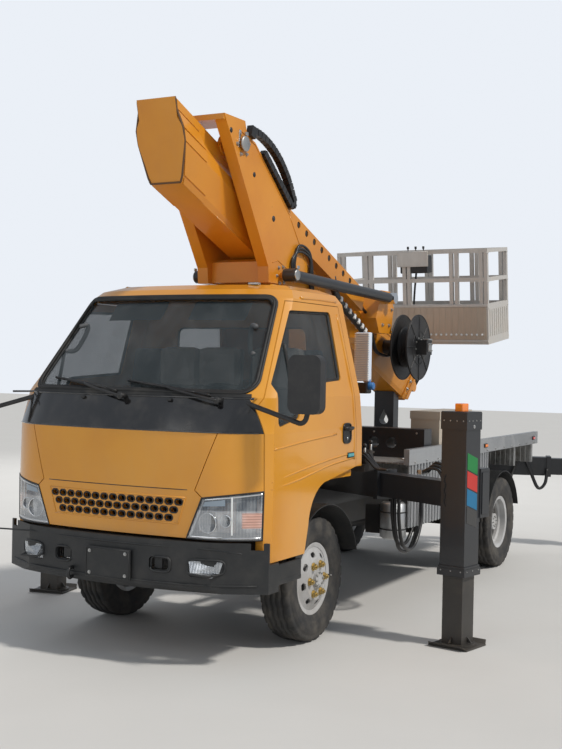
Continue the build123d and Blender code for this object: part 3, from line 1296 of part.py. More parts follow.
# Turret: a leaning portal over the cab, side plates, base plate and the pin that carries the boom
with BuildPart() as turret:
    for side in (1, -1):
        inner_x = PORTAL_INNER if side > 0 else -PORTAL_OUTER
        with BuildSketch(Plane.YZ.offset(inner_x)):
            with BuildLine():
                Polyline(*[(aft(back), height) for back, height in PORTAL_ARM], close=True)
            make_face()
        extrude(amount=PORTAL_OUTER - PORTAL_INNER)
        plate_x = PORTAL_OUTER - PLATE_THICKNESS if side > 0 else -PORTAL_OUTER
        with BuildSketch(Plane.YZ.offset(plate_x)):
            with BuildLine():
                Polyline(*[(aft(back), height) for back, height in SIDE_PLATE], close=True)
            make_face()
        extrude(amount=PLATE_THICKNESS)
    # front, rear, bottom and top of each member between the arms
    for front, rear, bottom, top in TURRET_MEMBERS:
        with Locations((0, aft(front), bottom)):
            Box(2 * PORTAL_OUTER - 10, rear - front, top - bottom, align=(Align.CENTER, Align.MIN, Align.MIN))
    with BuildSketch(Plane.YZ.offset(-PORTAL_OUTER)):
        with BuildLine():
            Polyline(*[(aft(back), height) for back, height in FOOT_BEAM], close=True)
        make_face()
    extrude(amount=2 * PORTAL_OUTER)
    with BuildSketch(Plane.XY.offset(RING_TOP + SEAT_GAP)):
        with Locations((0, aft(SLEW_BACK))):
            Circle(RING_RADIUS)
    extrude(amount=BASE_PLATE)
    with BuildSketch(Plane.YZ.offset(-PIVOT_PIN_HALF)):
        with Locations((aft(PIVOT_BACK), PIVOT_Z)):
            Circle(PIVOT_PIN_RADIUS)
    extrude(amount=2 * PIVOT_PIN_HALF)
    for side in (1, -1):
        start = PORTAL_OUTER if side > 0 else -LUFF_EYE_OUTER
        with BuildSketch(Plane.YZ.offset(start)):
            with Locations((aft(LUFF_BASE_BACK), LUFF_BASE_Z)):
                Circle(LUFF_PIN_RADIUS)
        extrude(amount=LUFF_EYE_OUTER - PORTAL_OUTER)
save(turret.part, "turret")

# Portal chain: an anchor, then links along the arc, round the bend and back along the side plate's edge
EDGE_CORNER = Vector(0, aft(SIDE_PLATE[1][0]), SIDE_PLATE[1][1])
EDGE_WAY = (Vector(0, aft(SIDE_PLATE[2][0]), SIDE_PLATE[2][1]) - EDGE_CORNER).normalized()
EDGE_RISE = Vector(0, -EDGE_WAY.Z, EDGE_WAY.Y)
ANCHOR_EDGE = Vector(0, aft(SIDE_PLATE[0][0]), SIDE_PLATE[0][1])
ANCHOR_WAY = (EDGE_CORNER - ANCHOR_EDGE).normalized()
ANCHOR_RISE = Vector(0, -ANCHOR_WAY.Z, ANCHOR_WAY.Y)
ANCHOR_FOOT = ANCHOR_EDGE + ANCHOR_WAY * PORTAL_CHAIN_ANCHOR + ANCHOR_RISE * SEAT_GAP
chain_start = ANCHOR_FOOT + ANCHOR_WAY * PORTAL_CHAIN_ANCHOR_LENGTH / 2
chain_start += ANCHOR_RISE * (PORTAL_CHAIN_ANCHOR_HEIGHT - PORTAL_CHAIN_HALF)
bend = [EDGE_CORNER + EDGE_WAY * along + EDGE_RISE * over for along, over in PORTAL_CHAIN_BEND]
crest = Vector(0, aft(PORTAL_CHAIN_CREST[0]), PORTAL_CHAIN_CREST[1])
with BuildLine() as chain_route:
    ThreePointArc(chain_start, crest, bend[0])
    ThreePointArc(bend[0], bend[1], bend[2])
    Line(bend[2], bend[3])
with BuildPart() as portal_chain:
    with Locations(Plane(origin=ANCHOR_FOOT + Vector(PORTAL_CHAIN_X, 0, 0), x_dir=ANCHOR_WAY, z_dir=ANCHOR_RISE)):
        Box(
            PORTAL_CHAIN_ANCHOR_LENGTH,
            2 * PORTAL_CHAIN_HALF,
            PORTAL_CHAIN_ANCHOR_HEIGHT,
            align=(Align.MIN, Align.CENTER, Align.MIN),
        )
    for stretch in chain_route.edges():
        links = max(3, round(stretch.length / PORTAL_CHAIN_PITCH))
        for link in range(links):
            middle = (link + 0.5) / links
            place = stretch @ middle + Vector(PORTAL_CHAIN_X, 0, 0)
            with Locations(Plane(origin=place, x_dir=stretch % middle, z_dir=(1, 0, 0))):
                Box(stretch.length / links - 6, 2 * PORTAL_CHAIN_HALF, 2 * PORTAL_CHAIN_HALF)
                Box(stretch.length / links + 16, 2 * PORTAL_CHAIN_HALF - 14, 2 * PORTAL_CHAIN_HALF - 8)
save(portal_chain.part, "portal_chain")


def boom_plane(along):
    """Plane across the boom at a distance along it from its pivot, second axis away from the ground."""
    return Plane(origin=(0, *on_boom(along, 0)), x_dir=(-1, 0, 0), z_dir=(0, BOOM_COS, -BOOM_SIN))


def boom_face(along, inset):
    """Face of the boom's folded section, drawn in by the inset."""
    half = BOOM_HEIGHT / 2
    right = (
        (BOOM_HALF_TOP, half),
        (BOOM_HALF_TOP, half - BOOM_SHOULDER),
        (BOOM_HALF_WIDEST, half - BOOM_SHOULDER - BOOM_CHAMFER),
        (BOOM_HALF_WIDEST, half - BOOM_SHOULDER - BOOM_CHAMFER - BOOM_BAND),
        (BOOM_HALF_BOTTOM + 6, -half + 34),
        (BOOM_HALF_BOTTOM - 10, -half),
    )
    left = [(-x, above) for x, above in reversed(right)]
    with BuildSketch(boom_plane(along)) as section:
        with BuildLine():
            Polyline(*right, *left, close=True)
        make_face()
        if inset:
            offset(amount=-inset, kind=Kind.INTERSECTION)
    return section.sketch


def tail_region(thickness):
    """Everything ahead of the slanted tail, set back by a thickness, as a side view face."""
    top = (aft(BOOM_TOP_BACK), BOOM_TOP_Z)
    bottom = (aft(BOOM_BOTTOM_BACK), boom_bottom_z(BOOM_BOTTOM_BACK))
    slant = (Vector(*bottom) - Vector(*top)).normalized()
    inward = Vector(-slant.Y, slant.X)
    corners = (
        Vector(*top) - slant * 300 + inward * thickness,
        Vector(*bottom) + slant * 300 + inward * thickness,
        Vector(*bottom) + slant * 300 - inward * 600,
        Vector(*top) - slant * 300 - inward * 600,
    )
    return outline_face(Plane.YZ.offset(-BOOM_HALF_WIDEST - 50), [(corner.X, corner.Y) for corner in corners])


def boom_side(points):
    """Row places, in side view, of points given along the boom and above its axis."""
    return [on_boom(along, above) for along, above in points]


with BuildPart() as base_boom_hollow:
    extrude(boom_face(BOOM_TAIL, BOOM_WALL), amount=BOOM_HEAD - HEAD_COLLAR - BOOM_TAIL)
    extrude(tail_region(BOOM_WALL), amount=2 * BOOM_HALF_WIDEST + 100, mode=Mode.SUBTRACT)
    extrude(boom_face(0, SECTION_STEP - SLIDE_GAP), amount=BOOM_HEAD + 1)

# Base boom: folded tube with a slanted tail, guide collar, pivot ears and cylinder brackets
with BuildPart() as base_boom:
    extrude(boom_face(BOOM_TAIL, 0), amount=BOOM_HEAD - BOOM_TAIL)
    extrude(boom_face(BOOM_HEAD - HEAD_COLLAR, -COLLAR_STEP), amount=HEAD_COLLAR)
    extrude(tail_region(0), amount=2 * BOOM_HALF_WIDEST + 100, mode=Mode.SUBTRACT)
    for inner_x in (-EAR_OUTER, EAR_OUTER - EAR_THICKNESS):
        with BuildSketch(Plane.YZ.offset(inner_x)):
            with Locations((aft(PIVOT_BACK), PIVOT_Z)):
                Circle(EAR_RADIUS)
            with BuildLine():
                Polyline(*boom_side(EAR_FOOT), close=True)
            make_face()
        extrude(amount=EAR_THICKNESS)
    for start in (-LUFF_BRACKET_OUTER, BOOM_HALF_TOP - 5):
        with BuildSketch(Plane.YZ.offset(start)):
            with BuildLine():
                Polyline(*[(aft(back), height) for back, height in LUFF_BRACKET], close=True)
            make_face()
        extrude(amount=LUFF_BRACKET_OUTER - BOOM_HALF_TOP + 5)
    # chain tray: inner side, height from and height to of its floor and its outer plate
    for start_x, low, high in (
        (TRAY_OUTER - TRAY_SHEET, TRAY_LOW, TRAY_HIGH),
        (TRAY_INNER, TRAY_LOW, TRAY_LOW + TRAY_SHEET),
    ):
        with BuildSketch(Plane.YZ.offset(start_x)):
            with BuildLine():
                Polyline(
                    *boom_side(((TRAY_START, low), (TRAY_END, low), (TRAY_END, high), (TRAY_START, high))),
                    close=True,
                )
            make_face()
        extrude(amount=TRAY_OUTER - start_x)
    with BuildSketch(Plane.YZ.offset(TRAY_OUTER - 2 * TRAY_SHEET)):
        for hole in range(TRAY_HOLES):
            with Locations(on_boom(TRAY_FIRST_HOLE + hole * TRAY_HOLE_PITCH, TRAY_HOLE_ABOVE)):
                Circle(TRAY_HOLE_RADIUS)
    extrude(amount=3 * TRAY_SHEET, mode=Mode.SUBTRACT)
    add(base_boom_hollow.part, mode=Mode.SUBTRACT)
    with BuildSketch(Plane.YZ.offset(-BOOM_HALF_WIDEST)):
        with Locations((aft(PIVOT_BACK), PIVOT_Z)):
            Circle(PIVOT_PIN_RADIUS + PIN_GAP)
    extrude(amount=2 * BOOM_HALF_WIDEST, mode=Mode.SUBTRACT)
save(base_boom.part, "base_boom")

# Inner sections, one row per section: number, start and end along the boom
for number, section_start, section_end in BOOM_SECTIONS:
    inset = (number - 1) * SECTION_STEP
    with BuildPart() as section:
        extrude(boom_face(section_start, inset), amount=section_end - section_start)
        extrude(boom_face(section_start, inset - SECTION_STEP + BOOM_WALL + SLIDE_GAP), amount=HEAD_COLLAR)
        extrude(boom_face(section_end - HEAD_COLLAR, inset - COLLAR_STEP), amount=HEAD_COLLAR)
        hollow_end = section_end - HEAD_COLLAR
        extrude(boom_face(section_start, inset + BOOM_WALL), amount=hollow_end - section_start, mode=Mode.SUBTRACT)
        if number < len(BOOM_SECTIONS) + 1:
            guide = inset + SECTION_STEP - SLIDE_GAP
            extrude(boom_face(hollow_end - 1, guide), amount=HEAD_COLLAR + 2, mode=Mode.SUBTRACT)
        else:
            tip_points = boom_side(((TIP_ALONG, 0),))
            for inner_x in (-TIP_EAR_OUTER, TIP_EAR_OUTER - EAR_THICKNESS):
                with BuildSketch(Plane.YZ.offset(inner_x)):
                    with Locations(tip_points[0]):
                        Circle(TIP_EAR_RADIUS)
                    with BuildLine():
                        Polyline(
                            *boom_side(
                                (
                                    (section_end - 20, -TIP_EAR_RADIUS),
                                    (TIP_ALONG, -TIP_EAR_RADIUS),
                                    (TIP_ALONG, TIP_EAR_RADIUS),
                                    (section_end - 20, TIP_EAR_RADIUS),
                                )
                            ),
                            close=True,
                        )
                    make_face()
                extrude(amount=EAR_THICKNESS)
            with BuildSketch(Plane.YZ.offset(-TIP_EAR_OUTER)):
                with Locations(tip_points[0]):
                    Circle(TIP_PIN_RADIUS)
            extrude(amount=2 * TIP_EAR_OUTER)
    save(section.part, f"boom_section_{number}")

# Energy chain: links on a flat core, lying in the tray
with BuildPart() as energy_chain:
    links = int((TRAY_END - TRAY_START - 60) / LINK_PITCH)
    low = TRAY_LOW + TRAY_SHEET + SEAT_GAP
    with BuildSketch(Plane.YZ.offset(TRAY_INNER + 8)):
        with BuildLine():
            Polyline(
                *boom_side(
                    (
                        (TRAY_START + 30, low),
                        (TRAY_START + 30 + links * LINK_PITCH, low),
                        (TRAY_START + 30 + links * LINK_PITCH, low + CHAIN_HEIGHT - 10),
                        (TRAY_START + 30, low + CHAIN_HEIGHT - 10),
                    )
                ),
                close=True,
            )
        make_face()
        for link in range(links):
            start = TRAY_START + 30 + link * LINK_PITCH
            with BuildLine():
                Polyline(
                    *boom_side(
                        (
                            (start, low + CHAIN_HEIGHT - 20),
                            (start + LINK_LENGTH, low + CHAIN_HEIGHT - 20),
                            (start + LINK_LENGTH, low + CHAIN_HEIGHT),
                            (start, low + CHAIN_HEIGHT),
                        )
                    ),
                    close=True,
                )
            make_face()
    extrude(amount=TRAY_OUTER - TRAY_SHEET - TRAY_INNER - 16)
save(energy_chain.part, "energy_chain")

# Cable reel on the boom's left side: bracket tube, two flanges, drum and drive box
with BuildPart() as cable_reel:
    # start from the boom's side, length and radius of each round part
    for start_x, length, radius in REEL_PARTS:
        with BuildSketch(Plane.YZ.offset(BOOM_HALF_WIDEST + SEAT_GAP + start_x)):
            with Locations(on_boom(REEL_ALONG, REEL_ABOVE)):
                Circle(radius)
        extrude(amount=length)
    with BuildSketch(Plane.YZ.offset(BOOM_HALF_WIDEST + SEAT_GAP + REEL_BOX_START)):
        with Locations(on_boom(REEL_ALONG, REEL_ABOVE)):
            Rectangle(REEL_BOX, REEL_BOX)
    extrude(amount=REEL_BOX_LENGTH)
save(cable_reel.part, "cable_reel")

# Luffing cylinders: a barrel on each foot of the portal and a rod on each boom bracket
LUFF_BASE = Vector(0, aft(LUFF_BASE_BACK), LUFF_BASE_Z)
LUFF_END = Vector(0, aft(LUFF_END_BACK), LUFF_END_Z)
LUFF_AXIS = (LUFF_END - LUFF_BASE).normalized()
LUFF_CLOSED = (LUFF_END - LUFF_BASE).length


def luff_plane(side, along):
    """Plane across a luffing cylinder at a distance from its base pin."""
    place = LUFF_BASE + LUFF_AXIS * along
    return Plane(origin=(side * LUFF_X, place.Y, place.Z), x_dir=(1, 0, 0), z_dir=LUFF_AXIS)


with BuildPart() as luff_barrels:
    for name, side in SIDES:
        with BuildSketch(luff_plane(side, 0)) as barrel:
            Circle(BARREL_RADIUS)
        extrude(barrel.sketch, amount=LUFF_CLOSED - ROD_EYE_ROOM)
        eye_start = LUFF_EYE_INNER if side > 0 else -LUFF_EYE_OUTER
        with BuildSketch(Plane.YZ.offset(eye_start)) as eye:
            with Locations((aft(LUFF_BASE_BACK), LUFF_BASE_Z)):
                Circle(LUFF_EYE_RADIUS)
        extrude(eye.sketch, amount=LUFF_EYE_OUTER - LUFF_EYE_INNER)
        with BuildSketch(Plane.YZ.offset(eye_start)) as pin_hole:
            with Locations((aft(LUFF_BASE_BACK), LUFF_BASE_Z)):
                Circle(LUFF_PIN_RADIUS + PIN_GAP)
        extrude(pin_hole.sketch, amount=LUFF_EYE_OUTER - LUFF_EYE_INNER, mode=Mode.SUBTRACT)
        with BuildSketch(luff_plane(side, ROD_ROOT - 20)) as bore:
            Circle(PISTON_RADIUS + PIN_GAP)
        extrude(bore.sketch, amount=LUFF_CLOSED - ROD_EYE_ROOM - GLAND_LENGTH - ROD_ROOT + 20, mode=Mode.SUBTRACT)
        with BuildSketch(luff_plane(side, ROD_ROOT)) as gland:
            Circle(ROD_RADIUS + PIN_GAP)
        extrude(gland.sketch, amount=LUFF_CLOSED, mode=Mode.SUBTRACT)
save(luff_barrels.part, "luff_cylinder_barrels")

with BuildPart() as luff_rods:
    for name, side in SIDES:
        with BuildSketch(luff_plane(side, ROD_ROOT)) as rod:
            Circle(ROD_RADIUS)
        extrude(rod.sketch, amount=LUFF_CLOSED - ROD_ROOT)
        with BuildSketch(luff_plane(side, ROD_ROOT)) as piston:
            Circle(PISTON_RADIUS)
        extrude(piston.sketch, amount=PISTON_LENGTH)
        eye_start = LUFF_EYE_INNER if side > 0 else -LUFF_EYE_OUTER
        with BuildSketch(Plane.YZ.offset(eye_start)) as eye:
            with Locations((aft(LUFF_END_BACK), LUFF_END_Z)):
                Circle(LUFF_EYE_RADIUS)
        extrude(eye.sketch, amount=LUFF_EYE_OUTER - LUFF_EYE_INNER)
save(luff_rods.part, "luff_cylinder_rods")

# Levelling head: eye on the boom's tip, upright post for the basket
BASKET_TILT_COS = cos(radians(BASKET_TILT))
BASKET_TILT_SIN = sin(radians(BASKET_TILT))
BASKET_PLANE = Plane(
    origin=(0, aft(POST_BACK), BASKET_FLOOR_Z),
    x_dir=(1, 0, 0),
    z_dir=(0, -BASKET_TILT_SIN, BASKET_TILT_COS),
)
TIP_Y, TIP_Z = on_boom(TIP_ALONG, 0)
with BuildPart() as levelling_head:
    with BuildSketch(Plane.YZ.offset(-TIP_EAR_OUTER + EAR_THICKNESS + SLIDE_GAP)):
        with Locations((TIP_Y, TIP_Z)):
            Circle(TIP_EAR_RADIUS)
        with BuildLine():
            Polyline(
                (TIP_Y, TIP_Z - TIP_EAR_RADIUS),
                (TIP_Y + 95, TIP_Z + 40),
                (TIP_Y + 95, TIP_Z + 180),
                (TIP_Y + 5, TIP_Z + 180),
                (TIP_Y - TIP_EAR_RADIUS + 12, TIP_Z + 25),
                close=True,
            )
        make_face()
    extrude(amount=2 * (TIP_EAR_OUTER - EAR_THICKNESS - SLIDE_GAP))
    with BuildSketch(Plane.YZ.offset(-TIP_EAR_OUTER)):
        with Locations((TIP_Y, TIP_Z)):
            Circle(TIP_PIN_RADIUS + PIN_GAP)
    extrude(amount=2 * TIP_EAR_OUTER, mode=Mode.SUBTRACT)
    with BuildSketch(BASKET_PLANE.offset(-POST_DROP)):
        Circle(POST_RADIUS)
    extrude(amount=POST_DROP - SEAT_GAP)
save(levelling_head.part, "levelling_head")

# Basket: floor with its bracket over the post, kick panels, double posts, middle and top rails
with BuildPart() as basket:
    with Locations(BASKET_PLANE):
        Cylinder(POST_RADIUS + 20, BASKET_BRACKET, align=(Align.CENTER, Align.CENTER, Align.MIN))
        Box(2 * POST_RADIUS + 20, BASKET_FRONT + 60, BASKET_BRACKET, align=(Align.CENTER, Align.MIN, Align.MIN))
        with Locations((0, BASKET_FRONT, 0)):
            Box(BASKET_WIDTH, BASKET_DEPTH, BASKET_FLOOR, align=(Align.CENTER, Align.MIN, Align.MIN))
            # low and high edge of each ring of sheet or rail, and its thickness
            for low, high, thickness in BASKET_RINGS:
                with Locations((0, 0, low)):
                    Box(BASKET_WIDTH, BASKET_DEPTH, high - low, align=(Align.CENTER, Align.MIN, Align.MIN))
                with Locations((0, thickness, low)):
                    Box(
                        BASKET_WIDTH - 2 * thickness,
                        BASKET_DEPTH - 2 * thickness,
                        high - low,
                        align=(Align.CENTER, Align.MIN, Align.MIN),
                        mode=Mode.SUBTRACT,
                    )
            for post_x in BASKET_POSTS:
                for post_y in (0, BASKET_DEPTH - BASKET_TUBE):
                    with Locations((post_x, post_y, BASKET_FLOOR)):
                        Box(
                            BASKET_TUBE,
                            BASKET_TUBE,
                            BASKET_HEIGHT - BASKET_FLOOR,
                            align=(Align.CENTER, Align.MIN, Align.MIN),
                        )
save(basket.part, "basket")
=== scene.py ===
"""Dresses a light truck with a telescopic boom: paint, glass, rubber, hoses, chains, bolts and lamps."""

import math

import bmesh
import bpy
from mathutils import Matrix, Vector


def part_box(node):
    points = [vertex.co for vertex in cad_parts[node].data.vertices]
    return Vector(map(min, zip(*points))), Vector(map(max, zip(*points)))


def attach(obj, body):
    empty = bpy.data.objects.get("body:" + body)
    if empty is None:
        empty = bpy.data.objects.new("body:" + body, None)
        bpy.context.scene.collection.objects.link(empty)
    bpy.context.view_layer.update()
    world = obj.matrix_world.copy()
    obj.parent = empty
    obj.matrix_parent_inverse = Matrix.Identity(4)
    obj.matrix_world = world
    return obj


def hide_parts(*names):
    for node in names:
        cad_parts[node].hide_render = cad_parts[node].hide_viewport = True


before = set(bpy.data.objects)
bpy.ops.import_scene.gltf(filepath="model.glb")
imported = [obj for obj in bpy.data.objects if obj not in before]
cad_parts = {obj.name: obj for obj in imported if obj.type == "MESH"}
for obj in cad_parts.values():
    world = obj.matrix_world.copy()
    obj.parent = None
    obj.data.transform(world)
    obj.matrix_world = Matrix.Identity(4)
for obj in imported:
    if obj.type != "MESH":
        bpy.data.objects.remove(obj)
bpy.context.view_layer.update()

X, Y, Z = Vector((1, 0, 0)), Vector((0, 1, 0)), Vector((0, 0, 1))
SIDES = (("left", 1), ("right", -1))
tyre_low, tyre_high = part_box("front_left_tyre")
TYRE_RADIUS = (tyre_high[2] - tyre_low[2]) / 2
TYRE_WIDTH = tyre_high[0] - tyre_low[0]
AXLE_Y = (tyre_low[1] + tyre_high[1]) / 2
AXLE_Z = (tyre_low[2] + tyre_high[2]) / 2
WHEELBASE = 3.36
BOOM_SLOPE = math.radians(20.5)
BOOM_WAY = Vector((0, math.cos(BOOM_SLOPE), -math.sin(BOOM_SLOPE)))
BOOM_UP = Vector((0, math.sin(BOOM_SLOPE), math.cos(BOOM_SLOPE)))
PIVOT = Vector((0, AXLE_Y - 0.12, 3.1))
BOOM_AXIS_DROP = 0.2323


def aft(back):
    """Row position of a place this far behind the front axle."""
    return AXLE_Y + back


def on_boom(along, above, side=0.0):
    """Place on the stowed boom: along it from the pivot, above its axis, out to its left."""
    return PIVOT + BOOM_WAY * along + BOOM_UP * (above - BOOM_AXIS_DROP) + X * side


def beside(side, back, z):
    """Start of a ray from one side: place behind the front axle and height."""
    return Vector((2.0 * side, aft(back), z))


def ahead(x, z):
    """Start of a ray from the front: place across and height."""
    return Vector((x, aft(-3), z))


def spread(low, high, count):
    """Even steps from low to high."""
    return [low + (high - low) * step / (count - 1) for step in range(count)]


def surface(name, start, way):
    """Place and facing where a ray first meets a CAD node."""
    hit, place, normal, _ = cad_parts[name].ray_cast(Vector(start), Vector(way).normalized())
    return (place, normal) if hit else (None, None)


def meet(name, start, way):
    """Place where a ray first meets a CAD node."""
    return surface(name, start, way)[0]


def circle(centre, way, radius, count, turn=0.0):
    """Places on a circle about an axis."""
    way = Vector(way).normalized()
    side = way.orthogonal().normalized()
    over = way.cross(side)
    angles = [turn + 2 * math.pi * index / count for index in range(count)]
    return [Vector(centre) + (side * math.cos(angle) + over * math.sin(angle)) * radius for angle in angles]


def rounded(half_wide, half_tall, power, count):
    """Width and height round an oblong with rounded corners."""
    pairs = []
    for step in range(count):
        wide, tall = math.cos(2 * math.pi * step / count), math.sin(2 * math.pi * step / count)
        pairs.append(
            (abs(wide) ** power * math.copysign(half_wide, wide), abs(tall) ** power * math.copysign(half_tall, tall))
        )
    return pairs


def studs(name, starts, way, beyond=0.0):
    """Places, with their facing, where rays against a way meet a node beyond this distance from the middle."""
    found = [meet(name, start, -way) for start in starts]
    return [(place, way) for place in found if place is not None and abs(place.x) > beyond]


class Signal:
    """One socket of a finish, with arithmetic."""

    def __init__(self, finish, socket):
        self.finish = finish
        self.socket = socket

    def _math(self, operation, first, second):
        return self.finish.add("ShaderNodeMath", {"operation": operation}, [first, second])

    def __add__(self, other):
        return self._math("ADD", self, other)

    def __radd__(self, other):
        return self._math("ADD", other, self)

    def __sub__(self, other):
        return self._math("SUBTRACT", self, other)

    def __rsub__(self, other):
        return self._math("SUBTRACT", other, self)

    def __mul__(self, other):
        return self._math("MULTIPLY", self, other)

    def __rmul__(self, other):
        return self._math("MULTIPLY", other, self)

    def __pow__(self, other):
        return self._math("POWER", self, other)

    def apply(self, operation, other=0.0):
        """Math by name, for what has no operator."""
        return self._math(operation, self, other)

    def step(self, low, high):
        """Smooth rise from 0 at low to 1 at high."""
        settings = {"interpolation_type": "SMOOTHSTEP"}
        return self.finish.add("ShaderNodeMapRange", settings, {"Value": self, "From Min": low, "From Max": high})


class Finish:
    """A material under construction, with one method for nodes."""

    def __init__(self, name, **surface):
        self.material = bpy.data.materials.new(name)
        self.material.use_nodes = True
        self.tree = self.material.node_tree
        self.tree.nodes.clear()
        self.shader = self.tree.nodes.new("ShaderNodeBsdfPrincipled")
        end = self.tree.nodes.new("ShaderNodeOutputMaterial")
        self.tree.links.new(self.shader.outputs[0], end.inputs["Surface"])
        for socket, value in surface.items():
            self.set(socket.replace("_", " ").title(), value)

    def _join(self, target, value):
        if isinstance(value, Signal):
            self.tree.links.new(value.socket, target)
        else:
            target.default_value = value

    def add(self, kind, settings, inputs, output=0):
        """Adds a node: its settings first, then its sockets' values or links."""
        node = self.tree.nodes.new(kind)
        for key, value in settings.items():
            setattr(node, key, value)
        for key, value in inputs.items() if isinstance(inputs, dict) else enumerate(inputs):
            self._join(node.inputs[key], value)
        return Signal(self, node.outputs[output])

    def set(self, socket, value):
        """Gives the shader's socket a value or a link."""
        self._join(self.shader.inputs[socket], value)

    def place(self):
        """Object coordinates, in metres."""
        return self.add("ShaderNodeTexCoord", {}, {}, "Object")

    def axis(self, name):
        """One coordinate of the place."""
        return self.add("ShaderNodeSeparateXYZ", {}, [self.place()], name)

    def _scaled(self, stretch):
        return self.add("ShaderNodeMapping", {}, {"Vector": self.place(), "Scale": stretch})

    def noise(self, scale, detail=3.0, roughness=0.55, stretch=(1, 1, 1)):
        """Fractal noise over the place."""
        inputs = {"Vector": self._scaled(stretch), "Scale": scale, "Detail": detail, "Roughness": roughness}
        return self.add("ShaderNodeTexNoise", {}, inputs, "Fac")

    def cells(self, scale, stretch=(1, 1, 1)):
        """Distance to the nearest of scattered points."""
        inputs = {"Vector": self._scaled(stretch), "Scale": scale}
        return self.add("ShaderNodeTexVoronoi", {"feature": "F1"}, inputs, "Distance")

    def mix(self, mask, first, second):
        """Colour between two, by a mask."""
        first, second = (end if isinstance(end, Signal) else (*end, 1.0)[:4] for end in (first, second))
        return self.add("ShaderNodeMix", {"data_type": "RGBA"}, {0: mask, 6: first, 7: second}, 2)

    def relief(self, height, distance):
        """Small relief from a height, as the normal."""
        self.set("Normal", self.add("ShaderNodeBump", {}, {"Strength": 1.0, "Distance": distance, "Height": height}))


def paint(name, colour, shade, dust, rough=0.32, coat=0.5, low=0.35, dust_colour=(0.36, 0.31, 0.25), chips=0.0):
    """Sprayed paint with cloudy fading, road dust toward the ground, fine speckle and rain streaks."""
    finish = Finish(name, coat_roughness=0.12)
    clouds = finish.noise(1.3, 4.0)
    base = finish.mix(clouds.step(0.35, 0.7), colour, shade)
    low_mask = 1.0 - finish.axis("Z").step(0.2, low + 0.9)
    streaks = finish.noise(9.0, 3.0, 0.6, (1, 1, 0.12)).step(0.48, 0.78)
    speckle = finish.noise(220.0, 2.0, 0.7).step(0.52, 0.72)
    film = finish.noise(3.1, 5.0, 0.62).step(0.38, 0.75)
    dusty = (low_mask * 0.9 + 0.28) * (film * 0.6 + streaks * 0.45 + speckle * 0.3) * dust
    dusty = dusty.apply("MINIMUM", 1.0)
    base = finish.mix(dusty, base, dust_colour)
    if chips:
        worn = finish.noise(46.0, 6.0, 0.75).step(0.66, 0.7) * finish.noise(5.0, 2.0).step(0.5, 0.62) * chips
        base = finish.mix(worn, base, (0.055, 0.04, 0.032))
    finish.set("Base Color", base)
    finish.set("Roughness", rough + dusty * 0.45 + clouds * 0.06)
    finish.set("Coat Weight", coat * (1.0 - dusty))
    finish.relief(finish.noise(170.0, 2.0) * 0.35 + finish.noise(11.0, 2.0) * 0.5 + dusty * 0.4, 0.0008)
    return finish.material


def metal(name, colour, rough, grain=(1, 1, 1), grain_scale=60.0, dull=0.3, metallic=1.0, stain=(0.2, 0.18, 0.15)):
    """Bare metal with grain along one way and dull stains."""
    finish = Finish(name)
    lines = finish.noise(grain_scale, 4.0, 0.6, grain)
    patches = finish.noise(4.0, 5.0, 0.6).step(0.42, 0.75)
    brushed = finish.mix(lines, colour, [part * 0.78 for part in colour])
    finish.set("Base Color", finish.mix(patches * dull, brushed, stain))
    finish.set("Metallic", metallic - patches * dull * 0.5)
    finish.set("Roughness", rough + lines * 0.12 + patches * 0.2)
    finish.relief(lines, 0.0004)
    return finish.material


def plastic(name, colour, rough, grain_scale=420.0, grain=0.0005, dust=0.25, coat=0.0):
    """Moulded plastic with a fine grain and a film of dust."""
    finish = Finish(name, coat_roughness=0.08)
    pits = finish.cells(grain_scale)
    film = finish.noise(6.0, 5.0, 0.65).step(0.4, 0.8) * dust
    base = finish.mix(finish.noise(2.0), colour, [part * 1.25 for part in colour])
    finish.set("Base Color", finish.mix(film, base, (0.3, 0.27, 0.23)))
    finish.set("Roughness", rough + film * 0.4)
    finish.set("Coat Weight", coat * (1.0 - film))
    finish.relief(pits, grain)
    return finish.material


def glazing(name, tint, clear, dust=0.16):
    """Tinted pane with dried drops and a dusty film."""
    finish = Finish(name, metallic=0.0)
    drops = finish.cells(95.0).step(0.34, 0.2) * finish.noise(3.0, 2.0).step(0.45, 0.62)
    film = finish.noise(7.0, 5.0, 0.6, (1, 1, 0.35)).step(0.4, 0.8)
    dirt = (film * 0.75 + drops * 0.5) * dust
    finish.set("Base Color", finish.mix(dirt, tint, (0.55, 0.56, 0.55)))
    finish.set("Roughness", 0.04 + dirt * 0.5)
    finish.set("Alpha", (1.0 - clear) + dirt * 0.6)
    finish.set("Specular IOR Level", 0.9)
    return finish.material


def tread_plate(name):
    """Aluminium plate with raised lozenges crossing in pairs."""
    finish = Finish(name, metallic=0.85)
    across, along = finish.axis("X"), finish.axis("Y")
    height = None
    for turn in (1, -1):
        one = (across + along * turn) * 22.0
        two = (across - along * turn) * 22.0
        lug = (one.apply("FRACT") - 0.5).apply("ABSOLUTE").step(0.16, 0.05)
        lug = lug * (two.apply("FRACT") - 0.5).apply("ABSOLUTE").step(0.42, 0.3)
        cell = one.apply("FLOOR") + two.apply("FLOOR")
        chosen = (cell * 0.5).apply("FRACT").apply("GREATER_THAN", 0.25)
        lug = lug * (chosen if turn > 0 else 1.0 - chosen)
        height = lug if height is None else height.apply("MAXIMUM", lug)
    grime = finish.noise(5.0, 5.0, 0.65).step(0.35, 0.72)
    finish.set("Base Color", finish.mix(grime * (1.0 - height * 0.8), (0.5, 0.5, 0.49), (0.2, 0.18, 0.155)))
    finish.set("Roughness", 0.42 + grime * 0.25 - height * 0.12)
    finish.relief(height, 0.0025)
    return finish.material


